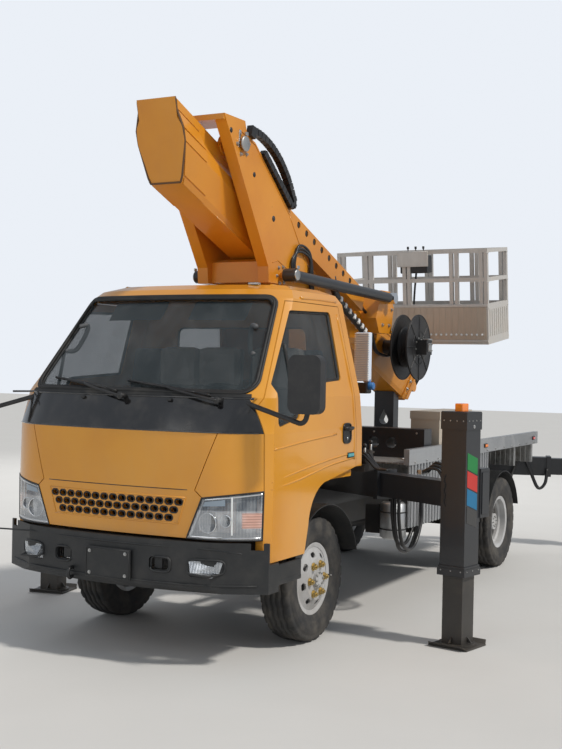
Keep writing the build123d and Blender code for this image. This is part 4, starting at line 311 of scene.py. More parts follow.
def tyre_rubber(name):
    """Road tyre rubber: rings and cords on the wall, dust in the tread."""
    finish = Finish(name, roughness=0.8)
    along, up = finish.axis("Y"), finish.axis("Z") - AXLE_Z
    rings = None
    for centre in (AXLE_Y, AXLE_Y + WHEELBASE):
        way = along - centre
        reach = (way * way + up * up) ** 0.5
        ring = (reach * 190.0).apply("SINE") * (1.0 - reach.step(0.45, 0.5))
        rings = ring if rings is None else rings + ring
    dust = finish.noise(9.0, 5.0, 0.65).step(0.35, 0.75)
    finish.set("Base Color", finish.mix(dust * 0.55, (0.022, 0.022, 0.023), (0.14, 0.125, 0.105)))
    finish.set("Roughness", 0.72 + dust * 0.2)
    finish.relief(rings * 0.35 + finish.noise(160.0, 2.0) * 0.3, 0.0011)
    return finish.material


def lamp_lens(name):
    """Clear lens, coloured silver and dark as a painted reflection of the bright reflector behind it, with an amber
    outer end.
    """
    finish = Finish(name, roughness=0.06, coat_roughness=0.03)
    out, up = finish.axis("X").apply("ABSOLUTE"), finish.axis("Z")
    amber_end = out.step(0.775, 0.785) * up.step(0.80, 0.805) * (1.0 - up.step(0.885, 0.89))
    ribs = (up * 420.0).apply("SINE") * amber_end
    facets = finish.cells(15.0, (1, 0.4, 0.8)).step(0.25, 0.6)
    flutes = (out * 420.0).apply("SINE") * (1.0 - amber_end)
    # painted reflection: facets and flutes turn the lens between silver and dark; its top band is darker
    shade = up.step(0.895, 0.90) * 0.5 + facets * 0.35 + flutes * 0.1 + 0.05
    painted_reflection = finish.mix(shade, (0.86, 0.89, 0.92), (0.13, 0.16, 0.2))
    finish.set("Base Color", finish.mix(amber_end * 0.7, painted_reflection, (0.8, 0.34, 0.2)))
    finish.set("Metallic", 0.5 - amber_end * 0.4)
    finish.set("Alpha", 0.5 + amber_end * 0.3)
    finish.set("Coat Weight", 1.0)
    finish.relief(ribs * 0.8 + flutes * 0.25, 0.0015)
    return finish.material


def cloth(name, colour, thread):
    """Woven seat cover."""
    finish = Finish(name, roughness=0.85, sheen_weight=0.3)
    weft = (finish.axis("X") * 1500.0).apply("SINE")
    weave = weft + (finish.axis("Z") * 1500.0 + finish.axis("Y") * 900.0).apply("SINE")
    finish.set("Base Color", finish.mix(weave * 0.25 + 0.5, colour, thread))
    finish.relief(weave, 0.0006)
    return finish.material


cab_paint = paint("cab_yellow_paint", (0.69, 0.30, 0.02), (0.63, 0.255, 0.015), 0.2, 0.26, 0.6)
arm_paint = paint("arm_yellow_paint", (0.68, 0.265, 0.012), (0.58, 0.205, 0.009), 0.16, 0.36, 0.35, 0.1, chips=0.6)
weld_brown = paint("weld_brown", (0.13, 0.06, 0.02), (0.08, 0.04, 0.018), 0.3, 0.6, 0.0, 0.1)
frame_paint = paint(
    "frame_grey_paint", (0.017, 0.019, 0.023), (0.013, 0.014, 0.017), 0.12, 0.4, 0.22, 0.4, (0.12, 0.11, 0.095), 0.3
)
chassis_paint = paint(
    "chassis_black_paint", (0.015, 0.015, 0.016), (0.011, 0.011, 0.012), 0.5, 0.5, 0.1, 0.4, (0.12, 0.1, 0.08)
)
inner_leg_paint = paint(
    "inner_leg_paint", (0.036, 0.033, 0.029), (0.026, 0.023, 0.02), 0.4, 0.45, 0.15, 0.1, (0.15, 0.125, 0.095), 0.8
)
rim_paint = paint("rim_silver_paint", (0.52, 0.53, 0.54), (0.45, 0.45, 0.45), 0.55, 0.34, 0.35, 0.6, (0.22, 0.19, 0.16))
box_beige = paint("box_beige_paint", (0.46, 0.40, 0.32), (0.42, 0.36, 0.29), 0.3, 0.4, 0.2, 0.3)
black_band = plastic("gloss_black_band", (0.006, 0.006, 0.007), 0.12, 300.0, 0.00005, 0.12, 0.9)
bumper_black = plastic("bumper_black", (0.013, 0.014, 0.015), 0.46, 520.0, 0.0006, 0.07)
trim_black = plastic("trim_black", (0.012, 0.012, 0.013), 0.42, 520.0, 0.0004, 0.08)
rubber = plastic("seal_rubber", (0.009, 0.009, 0.009), 0.6, 260.0, 0.0004, 0.1)
hose_black = plastic("hose_black", (0.010, 0.010, 0.011), 0.36, 300.0, 0.0004, 0.09)
cabin_grey = plastic("cabin_grey", (0.085, 0.088, 0.092), 0.6, 520.0, 0.0005, 0.1)
fin_grey = plastic("fin_grey", (0.60, 0.66, 0.75), 0.5, 420.0, 0.0002, 0.12)
amber = plastic("amber_lens", (0.9, 0.22, 0.012), 0.16, 160.0, 0.0004, 0.08, 0.9)
red_lens = plastic("red_lens", (0.55, 0.012, 0.01), 0.16, 160.0, 0.0004, 0.08, 0.9)
lamp_blue = plastic("lamp_hood", (0.2, 0.25, 0.3), 0.15, 160.0, 0.0001, 0.05, 0.9)
teal_lens = plastic("teal_lens", (0.02, 0.3, 0.34), 0.2, 160.0, 0.0004, 0.08, 0.8)
white_plastic = plastic("white_plastic", (0.72, 0.73, 0.72), 0.4, 420.0, 0.0003, 0.2, 0.3)
blue_plastic = plastic("blue_plastic", (0.02, 0.13, 0.36), 0.4, 420.0, 0.0003, 0.2, 0.3)
green_plate = plastic("green_plate", (0.004, 0.17, 0.035), 0.45, 200.0, 0.0001, 0.03)
red_plate = plastic("red_plate", (0.46, 0.026, 0.018), 0.45, 200.0, 0.0001, 0.03)
blue_plate = plastic("blue_plate", (0.004, 0.13, 0.27), 0.45, 200.0, 0.0001, 0.03)
black_plate = plastic("black_plate", (0.003, 0.003, 0.003), 0.25, 200.0, 0.0001, 0.02, 0.5)
chrome = metal("polished_chrome", (0.82, 0.83, 0.84), 0.06, (1, 1, 1), 30.0, 0.04)
steel = metal("zinc_steel", (0.55, 0.55, 0.54), 0.34, (1, 1, 1), 90.0, 0.35)
yellow_zinc = metal("yellow_zinc", (0.62, 0.47, 0.2), 0.34, (1, 1, 1), 90.0, 0.3)
alloy = metal("guard_aluminium", (0.62, 0.63, 0.64), 0.36, (1, 0.05, 6), 60.0, 0.22)
basket_alloy = metal("basket_aluminium", (0.66, 0.63, 0.59), 0.4, (1, 1, 0.1), 40.0, 0.3, 0.35, (0.44, 0.36, 0.29))
# kick panels: a darker, browner copy of the basket aluminium, as painted shade
panel_alloy_painted_shade = metal("panel_aluminium_painted_shade", (0.58, 0.49, 0.40), 0.4, (1, 1, 0.1), 40.0, 0.3, 0.35, (0.42, 0.31, 0.22))
cast = metal("cast_iron", (0.055, 0.053, 0.05), 0.62, (1, 1, 1), 70.0, 0.6, 0.6, (0.12, 0.09, 0.07))
glass = glazing("tinted_glass", (0.03, 0.042, 0.046), 0.6, 0.12)
lens = lamp_lens("lamp_lens")
deck_plate = tread_plate("deck_tread_plate")
tyre_black = tyre_rubber("road_tyre_rubber")
seat_cloth = cloth("seat_cloth", (0.06, 0.062, 0.07), (0.11, 0.11, 0.12))
seat_cover = cloth("seat_head_cover", (0.5, 0.49, 0.46), (0.62, 0.6, 0.57))

NODE_FINISH = {
    cab_paint: "cab_shell front_panel door_left door_right",
    arm_paint: "base_boom turret boom_section_2 boom_section_3 boom_section_4",
    frame_paint: "levelling_head cross_box boom_rest slew_pedestal outrigger_subframe luff_cylinder_barrels",
    chassis_paint: "chassis_frame propeller_shaft",
    cast: "engine_block front_axle rear_axle steering_knuckle_left steering_knuckle_right",
    glass: "windscreen rear_window door_glass_left door_glass_right",
    lens: "headlamps fog_lamps",
    bumper_black: "bumper mudguards fuel_tank",
    trim_black: "mirrors steering_wheel cable_reel",
    hose_black: "energy_chain portal_chain",
    black_band: "cowl_band",
    cabin_grey: "dashboard",
    seat_cloth: "seats",
    deck_plate: "deck",
    alloy: "side_guards",
    box_beige: "toolbox",
    chrome: "luff_cylinder_rods",
    basket_alloy: "basket",
}
FINISH_BY_ENDING = (
    ("_rim", rim_paint), ("_rims", rim_paint), ("tyre", tyre_black), ("tyres", tyre_black),
    ("_leg", inner_leg_paint), ("_outrigger_beam", frame_paint),
)
for node_name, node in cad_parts.items():
    chosen = [finish for finish, names in NODE_FINISH.items() if node_name in names.split()]
    chosen += [finish for ending, finish in FINISH_BY_ENDING if node_name.endswith(ending)]
    node.data.materials.clear()
    node.data.materials.append(chosen[0])

# Camera at the photograph's place and angle
yaw, pitch, roll = (math.radians(angle) for angle in (28.12, -0.35, 1.11))
FOCAL_LENGTH_PIXELS, IMAGE_HEIGHT_PIXELS, SENSOR = 1157.4, 749, 36
forward = Vector((-math.sin(yaw) * math.cos(pitch), math.cos(yaw) * math.cos(pitch), math.sin(pitch)))
level = Vector((math.cos(yaw), math.sin(yaw), 0))
upright = level.cross(forward)
right = level * math.cos(roll) + upright * math.sin(roll)
upward = upright * math.cos(roll) - level * math.sin(roll)
camera_data = bpy.data.cameras.new("camera")
camera_data.lens = FOCAL_LENGTH_PIXELS / IMAGE_HEIGHT_PIXELS * SENSOR
camera_data.sensor_width = SENSOR
camera = bpy.data.objects.new("camera", camera_data)
bpy.context.scene.collection.objects.link(camera)
turn = Matrix((right, upward, -forward)).transposed().to_4x4()
camera.matrix_world = Matrix.Translation((3.957, AXLE_Y - 6.443, 1.695)) @ turn
bpy.context.scene.camera = camera

# Pale surroundings: one colour lights the scene, another shows behind it and through the glass
bpy.context.scene.view_settings.view_transform = "Standard"
world = bpy.data.worlds.new("studio")
bpy.context.scene.world = world
world.use_nodes = True
studio = world.node_tree
light_sky = studio.nodes["Background"]
light_sky.inputs["Color"].default_value = (0.74, 0.80, 0.88, 1)
light_sky.inputs["Strength"].default_value = 0.52
seen_sky = studio.nodes.new("ShaderNodeBackground")
seen_sky.inputs["Color"].default_value = (0.83, 0.87, 0.93, 1)
rays = studio.nodes.new("ShaderNodeLightPath")
either = studio.nodes.new("ShaderNodeMath")
either.operation = "MAXIMUM"
choose = studio.nodes.new("ShaderNodeMixShader")
for output, socket in (
    (rays.outputs["Is Camera Ray"], either.inputs[0]),
    (rays.outputs["Is Transmission Ray"], either.inputs[1]),
    (either.outputs[0], choose.inputs[0]),
    (light_sky.outputs[0], choose.inputs[1]),
    (seen_sky.outputs[0], choose.inputs[2]),
    (choose.outputs[0], studio.nodes["World Output"].inputs[0]),
):
    studio.links.new(output, socket)


def lamp(name, kind, place, target, energy, size, colour=(1, 1, 1)):
    """One light that looks at a target."""
    data = bpy.data.lights.new(name, kind)
    data.energy = energy
    data.color = colour
    setattr(data, "size" if kind == "AREA" else "angle", size)
    light = bpy.data.objects.new(name, data)
    bpy.context.scene.collection.objects.link(light)
    light.rotation_euler = (Vector(target) - Vector(place)).to_track_quat("-Z", "Y").to_euler()
    light.location = place
    return light


lamp("high_key", "SUN", (9, -1, 11), (0, -1, 1), 2.6, 0.09, (1.0, 0.96, 0.9))
lamp("front_fill", "AREA", (-1, -11, 5), (0, -2, 1.5), 130, 6.0)
lamp("rear_fill", "AREA", (-6, 8, 7), (0, 1, 1.5), 380, 6.0).visible_glossy = False

floor_mesh = bpy.data.meshes.new("floor")
floor_mesh.from_pydata([(-40, -40, 0), (40, -40, 0), (40, 40, 0), (-40, 40, 0)], [], [(0, 1, 2, 3)])
floor = bpy.data.objects.new("floor", floor_mesh)
bpy.context.scene.collection.objects.link(floor)
floor_finish = Finish("pale_floor", roughness=0.9)
floor_finish.set("Base Color", floor_finish.mix(floor_finish.noise(1.5), (0.56, 0.55, 0.53), (0.6, 0.59, 0.57)))
floor.data.materials.append(floor_finish.material)


class Piece:
    """One dressed piece in the making: shapes in their place, a finish for each, and the body it rides on."""

    def __init__(self, name, body, finish):
        self.name = name
        self.body = body
        self.shape = bmesh.new()
        self.finishes = [finish]
        self.slot = 0

    def use(self, finish):
        """Finish of the shapes that follow."""
        if finish not in self.finishes:
            self.finishes.append(finish)
        self.slot = self.finishes.index(finish)
        return self

    def _faces(self, corners, faces, smooth=False, edge=0.0):
        made = [self.shape.verts.new(corner) for corner in corners]
        for face in faces:
            new = self.shape.faces.new([made[index] for index in face])
            new.material_index = self.slot
            new.smooth = smooth
        if edge:
            edges = list({one for vert in made for one in vert.link_edges})
            bmesh.ops.bevel(
                self.shape, geom=edges, offset=edge, segments=2, profile=0.6, affect="EDGES", material=-1
            )
        return self

    def tube(self, rows, closed=False):
        """Smooth skin over rows of points, each row a ring; its ends are shut, or joined."""
        steps, total = len(rows[0]), len(rows)
        faces = []
        for row in range(total if closed else total - 1):
            here, onward = row * steps, (row + 1) % total * steps
            for step in range(steps):
                after = (step + 1) % steps
                faces.append((here + step, here + after, onward + after, onward + step))
        if not closed:
            faces += [tuple(reversed(range(steps))), tuple(range((total - 1) * steps, total * steps))]
        return self._faces([corner for row in rows for corner in row], faces, smooth=True)

    def block(self, centre, size, edge=0.0, ways=(X, Y, Z)):
        """Box with bevelled edges, along three given ways."""
        reach = [way * length / 2 for way, length in zip(ways, size)]
        corners = [
            Vector(centre) + reach[0] * wide + reach[1] * deep + reach[2] * tall
            for tall in (-1, 1)
            for wide, deep in ((-1, -1), (1, -1), (1, 1), (-1, 1))
        ]
        faces = ((0, 3, 2, 1), (4, 5, 6, 7), (0, 1, 5, 4), (1, 2, 6, 5), (2, 3, 7, 6), (3, 0, 4, 7))
        return self._faces(corners, faces, edge=edge)

    def prism(self, outline, depth, edge=0.0):
        """Closed outline pushed along a vector, its rims bevelled."""
        count = len(outline)
        low = [Vector(point) for point in outline]
        faces = [tuple(reversed(range(count))), tuple(range(count, 2 * count))]
        faces += [(i, (i + 1) % count, count + (i + 1) % count, count + i) for i in range(count)]
        return self._faces(low + [point + Vector(depth) for point in low], faces, edge=edge)

    def spin(self, profile, centre, way, steps=32):
        """Turned form: (along, radius) pairs about an axis."""
        centre, way = Vector(centre), Vector(way).normalized()
        return self.tube([circle(centre + way * along, way, max(radius, 1e-5), steps) for along, radius in profile])

    def rod(self, start, end, radius, edge=0.002, steps=20):
        """Straight round bar with eased ends."""
        start, end = Vector(start), Vector(end)
        length = (end - start).length
        profile = ((0, radius - edge), (edge, radius), (length - edge, radius), (length, radius - edge))
        return self.spin(profile, start, end - start, steps)

    def hose(self, points, radius, sides=10, fine=8, closed=False, flat=1.0):
        """Smooth tube through the given points, round or flattened."""
        points = [Vector(point) for point in points]
        count = len(points)
        route = []
        for index in range(count if closed else count - 1):
            if closed:
                before, first, second, after = (points[(index + shift) % count] for shift in (-1, 0, 1, 2))
            else:
                first, second = points[index], points[index + 1]
                before = points[index - 1] if index else first * 2 - second
                after = points[index + 2] if index + 2 < count else second * 2 - first
            linear = second - before
            square = before * 2 - first * 5 + second * 4 - after
            cube = first * 3 - before - second * 3 + after
            for t in (step / fine for step in range(fine)):
                route.append(0.5 * (first * 2 + linear * t + square * t * t + cube * t * t * t))
        if not closed:
            route.append(points[-1])
        total = len(route)
        ring, rows = None, []
        for index, place in enumerate(route):
            ahead = route[(index + 1) % total] if closed or index + 1 < total else place
            behind = route[index - 1] if closed or index else place
            way = (ahead - behind).normalized()
            ring = way.orthogonal() if ring is None else ring - way * ring.dot(way)
            ring.normalize()
            over = way.cross(ring) * flat
            angles = [2 * math.pi * side / sides for side in range(sides)]
            rows.append([place + ring * radius * math.cos(angle) + over * radius * math.sin(angle) for angle in angles])
        return self.tube(rows, closed)

    def ring(self, points, radius, sides=6):
        """Closed bead straight from point to point."""
        return self.hose(points, radius, sides, 1, True)

    def laid(self, node_name, corners, way, lift, thick=0.003, rows=4, columns=10):
        """Thin plate on a node's skin: four corners before it, thrown onto it along a way."""
        corners = [Vector(corner) for corner in corners]
        way = Vector(way).normalized()
        grid = []
        for row in range(rows + 1):
            left, right = corners[0].lerp(corners[3], row / rows), corners[1].lerp(corners[2], row / rows)
            grid += [meet(node_name, left.lerp(right, column / columns), way) for column in range(columns + 1)]
        grid = [place - way * lift for place in grid]
        wide, count = columns + 1, len(grid)
        faces = []
        for first in (row * wide + column for row in range(rows) for column in range(columns)):
            loop = (first, first + 1, first + wide + 1, first + wide)
            faces += [loop, tuple(index + count for index in reversed(loop))]
        rim = list(range(wide)) + [row * wide + columns for row in range(1, rows + 1)]
        rim += list(range(count - 2, count - wide - 1, -1)) + [row * wide for row in range(rows - 1, 0, -1)]
        faces += [(one, one + count, two + count, two) for one, two in zip(rim, rim[1:] + rim[:1])]
        return self._faces(grid + [place + way * thick for place in grid], faces)

    def done(self, replaces=()):
        """Turns the shapes into an object that rides on its body."""
        bmesh.ops.recalc_face_normals(self.shape, faces=self.shape.faces)
        mesh = bpy.data.meshes.new(self.name)
        self.shape.to_mesh(mesh)
        self.shape.free()
        mount(mesh, self.name, self.body, self.finishes, replaces)


def mount(mesh, name, body, finishes, replaces=()):
    """Object from a finished mesh, riding on a body."""
    piece = bpy.data.objects.new(name, mesh)
    bpy.context.scene.collection.objects.link(piece)
    for finish in finishes:
        mesh.materials.append(finish)
    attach(piece, body)
    if replaces:
        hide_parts(*replaces)


def bolt_tree():
    """Nodes that set a washer, a hexagon head and a stud end on every point, along the point's facing."""
    tree = bpy.data.node_groups.new("bolt_heads", "GeometryNodeTree")
    for name, kind in (("Geometry", "Geometry"), ("Across", "Float"), ("Height", "Float"), ("Finish", "Material")):
        tree.interface.new_socket(name, in_out="INPUT", socket_type="NodeSocket" + kind)
    tree.interface.new_socket("Geometry", in_out="OUTPUT", socket_type="NodeSocketGeometry")

    def node(kind, *links):
        made = tree.nodes.new(kind)
        for socket, source in links:
            tree.links.new(source, made.inputs[socket])
        return made

    given = node("NodeGroupInput")
    join = node("GeometryNodeJoinGeometry")
    # sides, radius as a share of the width, height as a share of the head's
    for sides, share, tall in ((24, 0.78, 0.22), (6, 0.58, 1.0), (12, 0.27, 1.45)):
        products = []
        for socket, factor in (("Across", share), ("Height", tall), ("Height", tall / 2)):
            product = node("ShaderNodeMath", (0, given.outputs[socket]))
            product.operation = "MULTIPLY"
            product.inputs[1].default_value = factor
            products.append(product.outputs[0])
        radius, depth, middle = products
        drum = node("GeometryNodeMeshCylinder", ("Radius", radius), ("Depth", depth))
        drum.inputs["Vertices"].default_value = sides
        lift = node("ShaderNodeCombineXYZ", ("Z", middle))
        shift = node("GeometryNodeTransform", ("Geometry", drum.outputs["Mesh"]), ("Translation", lift.outputs[0]))
        tree.links.new(shift.outputs[0], join.inputs[0])
    facing = node("GeometryNodeInputNamedAttribute")
    facing.data_type = "FLOAT_VECTOR"
    facing.inputs["Name"].default_value = "facing"
    align = node("FunctionNodeAlignRotationToVector", ("Vector", facing.outputs["Attribute"]))
    align.axis = "Z"
    heads = node(
        "GeometryNodeInstanceOnPoints",
        ("Points", given.outputs["Geometry"]),
        ("Instance", join.outputs[0]),
        ("Rotation", align.outputs[0]),
    )
    realise = node("GeometryNodeRealizeInstances", (0, heads.outputs[0]))
    coat = node("GeometryNodeSetMaterial", ("Geometry", realise.outputs[0]), ("Material", given.outputs["Finish"]))
    node("NodeGroupOutput", (0, coat.outputs[0]))
    return tree


BOLT_TREE = bolt_tree()


def grow(mesh, name, tree, values):
    """Mesh that a node tree makes from another, with the tree's inputs given by name."""
    seedling = bpy.data.objects.new(name, mesh)
    bpy.context.scene.collection.objects.link(seedling)
    modifier = seedling.modifiers.new("repeat", "NODES")
    modifier.node_group = tree
    for item in tree.interface.items_tree:
        if item.in_out == "INPUT" and item.name in values:
            modifier[item.identifier] = values[item.name]
    bpy.context.view_layer.update()
    graph = bpy.context.evaluated_depsgraph_get()
    result = bpy.data.meshes.new_from_object(seedling.evaluated_get(graph), depsgraph=graph)
    seedling.modifiers.remove(modifier)
    bpy.data.objects.remove(seedling)
    result.name = name
    return result


def bolts(name, body, places, across, height, finish=steel):
    """Bolt heads at (place, facing) pairs."""
    mesh = bpy.data.meshes.new(name + "_places")
    mesh.from_pydata([place for place, _ in places], [], [])
    facing = mesh.attributes.new("facing", "FLOAT_VECTOR", "POINT")
    for item, (_, way) in zip(facing.data, places):
        item.vector = Vector(way).normalized()
    made = grow(mesh, name, BOLT_TREE, {"Across": across, "Height": height, "Finish": finish})
    made.materials.clear()
    mount(made, name, body, [finish])


BEAD_RADIUS = 0.222
GROOVE_DEPTH = 0.011
TYRE_STEPS = 150
# across the width as a share of half, radius as a share of the wall height, 1 at the tread
TYRE_WALL = (
    (0.74, 0.0), (0.80, 0.03), (0.90, 0.2), (0.985, 0.42), (1.0, 0.55), (0.985, 0.7), (0.955, 0.72), (0.95, 0.8)
)
# corners of ribs and grooves across the tread, as shares of half the width
HALF_TREAD = (0.12, 0.14, 0.22, 0.24, 0.5, 0.52, 0.6, 0.62, 0.8, 0.93)
TREAD = [-share for share in reversed(HALF_TREAD)] + list(HALF_TREAD)


def tyre(piece, centre_x, centre_y):
    """Ribbed road tyre: zigzag grooves, notched shoulders, ringed walls and rounded beads."""
    half = TYRE_WIDTH / 2
    height = TYRE_RADIUS - BEAD_RADIUS
    walls = [(share * half, BEAD_RADIUS + height * up) for share, up in TYRE_WALL]
    bead = [(share * half, BEAD_RADIUS - 0.004) for share in (0.68, -0.68)]
    rows = []
    for step in range(TYRE_STEPS):
        angle = 2 * math.pi * step / TYRE_STEPS
        notch = step % 5 == 0
        zigzag = 0.028 * (1 if step % 6 < 3 else -1)
        tread = []
        for index, share in enumerate(TREAD):
            crown = TYRE_RADIUS - 0.011 * abs(share) ** 3
            in_groove = index % 4 in (3, 0) and 2 < index < 17
            shoulder = abs(share) > 0.7
            radius = crown - GROOVE_DEPTH if in_groove or (shoulder and notch) else crown
            place = share * half * (0.99 if shoulder else 1.0) + (zigzag * half if 1 < index < 18 else 0)
            tread.append((place, radius))
        points = [(-x, r) for x, r in walls] + tread + walls[::-1] + bead
        rows.append([(centre_x + x, centre_y + r * math.sin(angle), AXLE_Z - r * math.cos(angle)) for x, r in points])
    piece.tube(rows, closed=True)


def wheel_trim(label, rim, body, side, centre_y):
    """Six wheel nuts on the disc, the hub cover's small bolts and the valve."""
    out = X * side
    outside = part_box(rim)[1 if side > 0 else 0][0] + 0.2 * side
    hub = Vector((outside, centre_y, AXLE_Z))
    for part, radius, count, turn, across, height, finish in (
        ("wheel_nuts", 0.098, 6, 0.3, 0.033, 0.024, yellow_zinc),
        ("hub_bolts", 0.043, 8, 0.1, 0.013, 0.007, steel),
    ):
        places = [(place - out * 0.0005, way) for place, way in studs(rim, circle(hub, X, radius, count, turn), out)]
        bolts(f"{label}_{part}", body, places, across, height, finish)
    root = meet(rim, hub + Y * 0.172, -out)
    if root is not None:
        valve = Piece(f"{label}_valve", body, trim_black)
        valve.rod(root - out * 0.003, root + out * 0.03, 0.0055, 0.001, 12)
        valve.use(steel).rod(root + out * 0.03, root + out * 0.042, 0.0038, 0.001, 12)
        valve.done()


def wheels():
    """Tyres over the plain solids, wheel nuts, valve stems and hub bolts."""
    for name, side in SIDES:
        low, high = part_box(f"front_{name}_tyre")
        piece = Piece(f"front_{name}_road_tyre", f"front_{name}_wheel", tyre_black)
        tyre(piece, (low[0] + high[0]) / 2, AXLE_Y)
        piece.done([f"front_{name}_tyre"])
        low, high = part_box(f"rear_{name}_twin_tyres")
        rear_y = (low[1] + high[1]) / 2
        piece = Piece(f"rear_{name}_road_tyres", f"rear_{name}_wheels", tyre_black)
        for centre in (low[0] + TYRE_WIDTH / 2, high[0] - TYRE_WIDTH / 2):
            tyre(piece, centre, rear_y)
        piece.done([f"rear_{name}_twin_tyres"])
        wheel_trim(f"front_{name}", f"front_{name}_rim", f"front_{name}_wheel", side, AXLE_Y)
        wheel_trim(f"rear_{name}", f"rear_{name}_twin_rims", f"rear_{name}_wheels", side, rear_y)


wheels()


def linked(node_name, chosen):
    """The chosen edges of a node's mesh, as each end's neighbours, and the mesh that holds them."""
    shape = bmesh.new()
    shape.from_mesh(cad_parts[node_name].data)
    bmesh.ops.remove_doubles(shape, verts=shape.verts, dist=2e-5)
    near = {}
    for edge in shape.edges:
        if len(edge.link_faces) == 2 and chosen(edge):
            for vert in edge.verts:
                near.setdefault(vert, []).append(edge.other_vert(vert))
    return near, shape


def rim_loop(node_name, outward, spacing=0.02):
    """Even points along the edge of the faces that look outward on a pane or a lamp."""
    outward = outward.normalized()

    def on_rim(edge):
        first, second = (face.normal.dot(outward) > 0.3 for face in edge.link_faces)
        return first != second

    near, shape = linked(node_name, on_rim)
    loops, seen = [], set()
    for vert in near:
        if vert in seen:
            continue
        loop = []
        while vert is not None:
            loop.append(vert)
            seen.add(vert)
            vert = next((other for other in near[vert] if other not in seen), None)
        loops.append([one.co.copy() for one in loop])
    shape.free()
    spans = [max((place - loop[0]).length for place in loop) for loop in loops]
    loops = [loop for loop, span in zip(loops, spans) if span > 0.5 * max(spans)]
    best = max(loops, key=lambda loop: sum(place.dot(outward) for place in loop) / len(loop))
    even = []
    for place, onward in zip(best, best[1:] + best[:1]):
        pieces = max(1, round((onward - place).length / spacing))
        even += [place.lerp(onward, step / pieces) for step in range(pieces)]
    return even


def inward(loop, amount):
    """Loop drawn in square to its edge."""
    around = sum((one.cross(two) for one, two in zip(loop, loop[1:] + loop[:1])), Vector()).normalized()
    return [
        place + around.cross(loop[(index + 1) % len(loop)] - loop[index - 1]).normalized() * amount
        for index, place in enumerate(loop)
    ]


def front_face(x, z, lift=0.0):
    """Place on the cab's front at a width and height."""
    for name in ("cowl_band", "front_panel", "windscreen", "cab_shell"):
        place = meet(name, ahead(x, z), Y)
        if place is not None and place.y < AXLE_Y - 0.4:
            return place - Y * lift
    return Vector((x, aft(-0.95), z))


SCREEN_OUT = Vector((0, -0.788, 0.617))


def cab_glazing():
    """Rubber gaskets round the panes, bars of the quarter lights and wipers on the windscreen."""
    seals = Piece("windscreen_gasket", "truck", rubber)
    loop = rim_loop("windscreen", SCREEN_OUT)
    for amount in (-0.016, -0.004, 0.008):
        line = []
        for place in inward(loop, amount):
            skin = meet("cab_shell", place + SCREEN_OUT * 0.3, -SCREEN_OUT)
            level = 0.0 if skin is None else max(0.0, min(0.04, (skin - place).dot(SCREEN_OUT)))
            line.append(place + SCREEN_OUT * (level + 0.002))
        seals.ring(line, 0.0095, 8)
    # cowl strip under the windscreen
    corners = ((-0.775, 1.5235), (0.775, 1.5235), (0.768, 1.543), (-0.768, 1.543))
    seals.laid("cab_shell", [ahead(x, z) for x, z in corners], Y, 0.007, 0.009, 3, 40)
    seals.ring(rim_loop("rear_window", Y), 0.009, 8)
    seals.done()
    for name, side in SIDES:
        out = X * side
        seals = Piece(f"door_gasket_{name}", f"{name}_door", rubber)
        loop = rim_loop(f"door_glass_{name}", out)
        seals.ring(loop, 0.009, 8)
        seals.ring([place + out * 0.001 for place in inward(loop, 0.011)], 0.006, 8)
        # quarter light bar across the front of the window
        low, high = (meet(f"door_glass_{name}", beside(side, -0.5, z), -out) + out * 0.002 for z in (1.45, 1.83))
        seals.hose([low, low.lerp(high, 0.5), high], 0.011, 10, 6)
        seals.done()
    wipers = Piece("wipers", "truck", trim_black)
    # pivot, tip of the blade: width and height on the cab's front
    for pivot_x, pivot_z, tip_x, tip_z in ((0.0, 1.515, -0.60, 1.60), (0.62, 1.505, -0.02, 1.592)):
        pivot = front_face(pivot_x, pivot_z)
        wipers.use(trim_black).rod(pivot + Y * 0.01, pivot - Y * 0.045, 0.015)
        wipers.rod(pivot - Y * 0.045, pivot - Y * 0.055, 0.02)
        blade = []
        for share in (0.1, 0.25, 0.4, 0.55, 0.7, 0.85, 1.0):
            x, z = pivot_x + (tip_x - pivot_x) * share, pivot_z + 0.008 + (tip_z - pivot_z) * share**0.7
            place = front_face(x, z, 0.022)
            place.y = min(place.y, front_face(x, 1.62, 0.022).y + 0.02)
            blade.append(place)
        wipers.hose(blade, 0.006, 8, 5, False, 1.8)
        wipers.use(rubber).hose([place + Y * 0.009 - Z * 0.003 for place in blade], 0.004, 8, 5)
        bends = ((0.0, 0.05), (0.35, 0.055), (0.8, 0.04), (1.0, 0.012))
        wipers.use(trim_black)
        wipers.hose([pivot.lerp(blade[3], share) - Y * before for share, before in bends], 0.0075, 8, 6)
        wipers.hose([blade[index] - Y * before for index, before in ((1, 0.006), (3, 0.017), (5, 0.006))], 0.005, 8, 6)
    for x in (-0.3, 0.31):
        wipers.block(front_face(x, 1.50, 0.006), (0.03, 0.02, 0.014), 0.004)
    wipers.done()


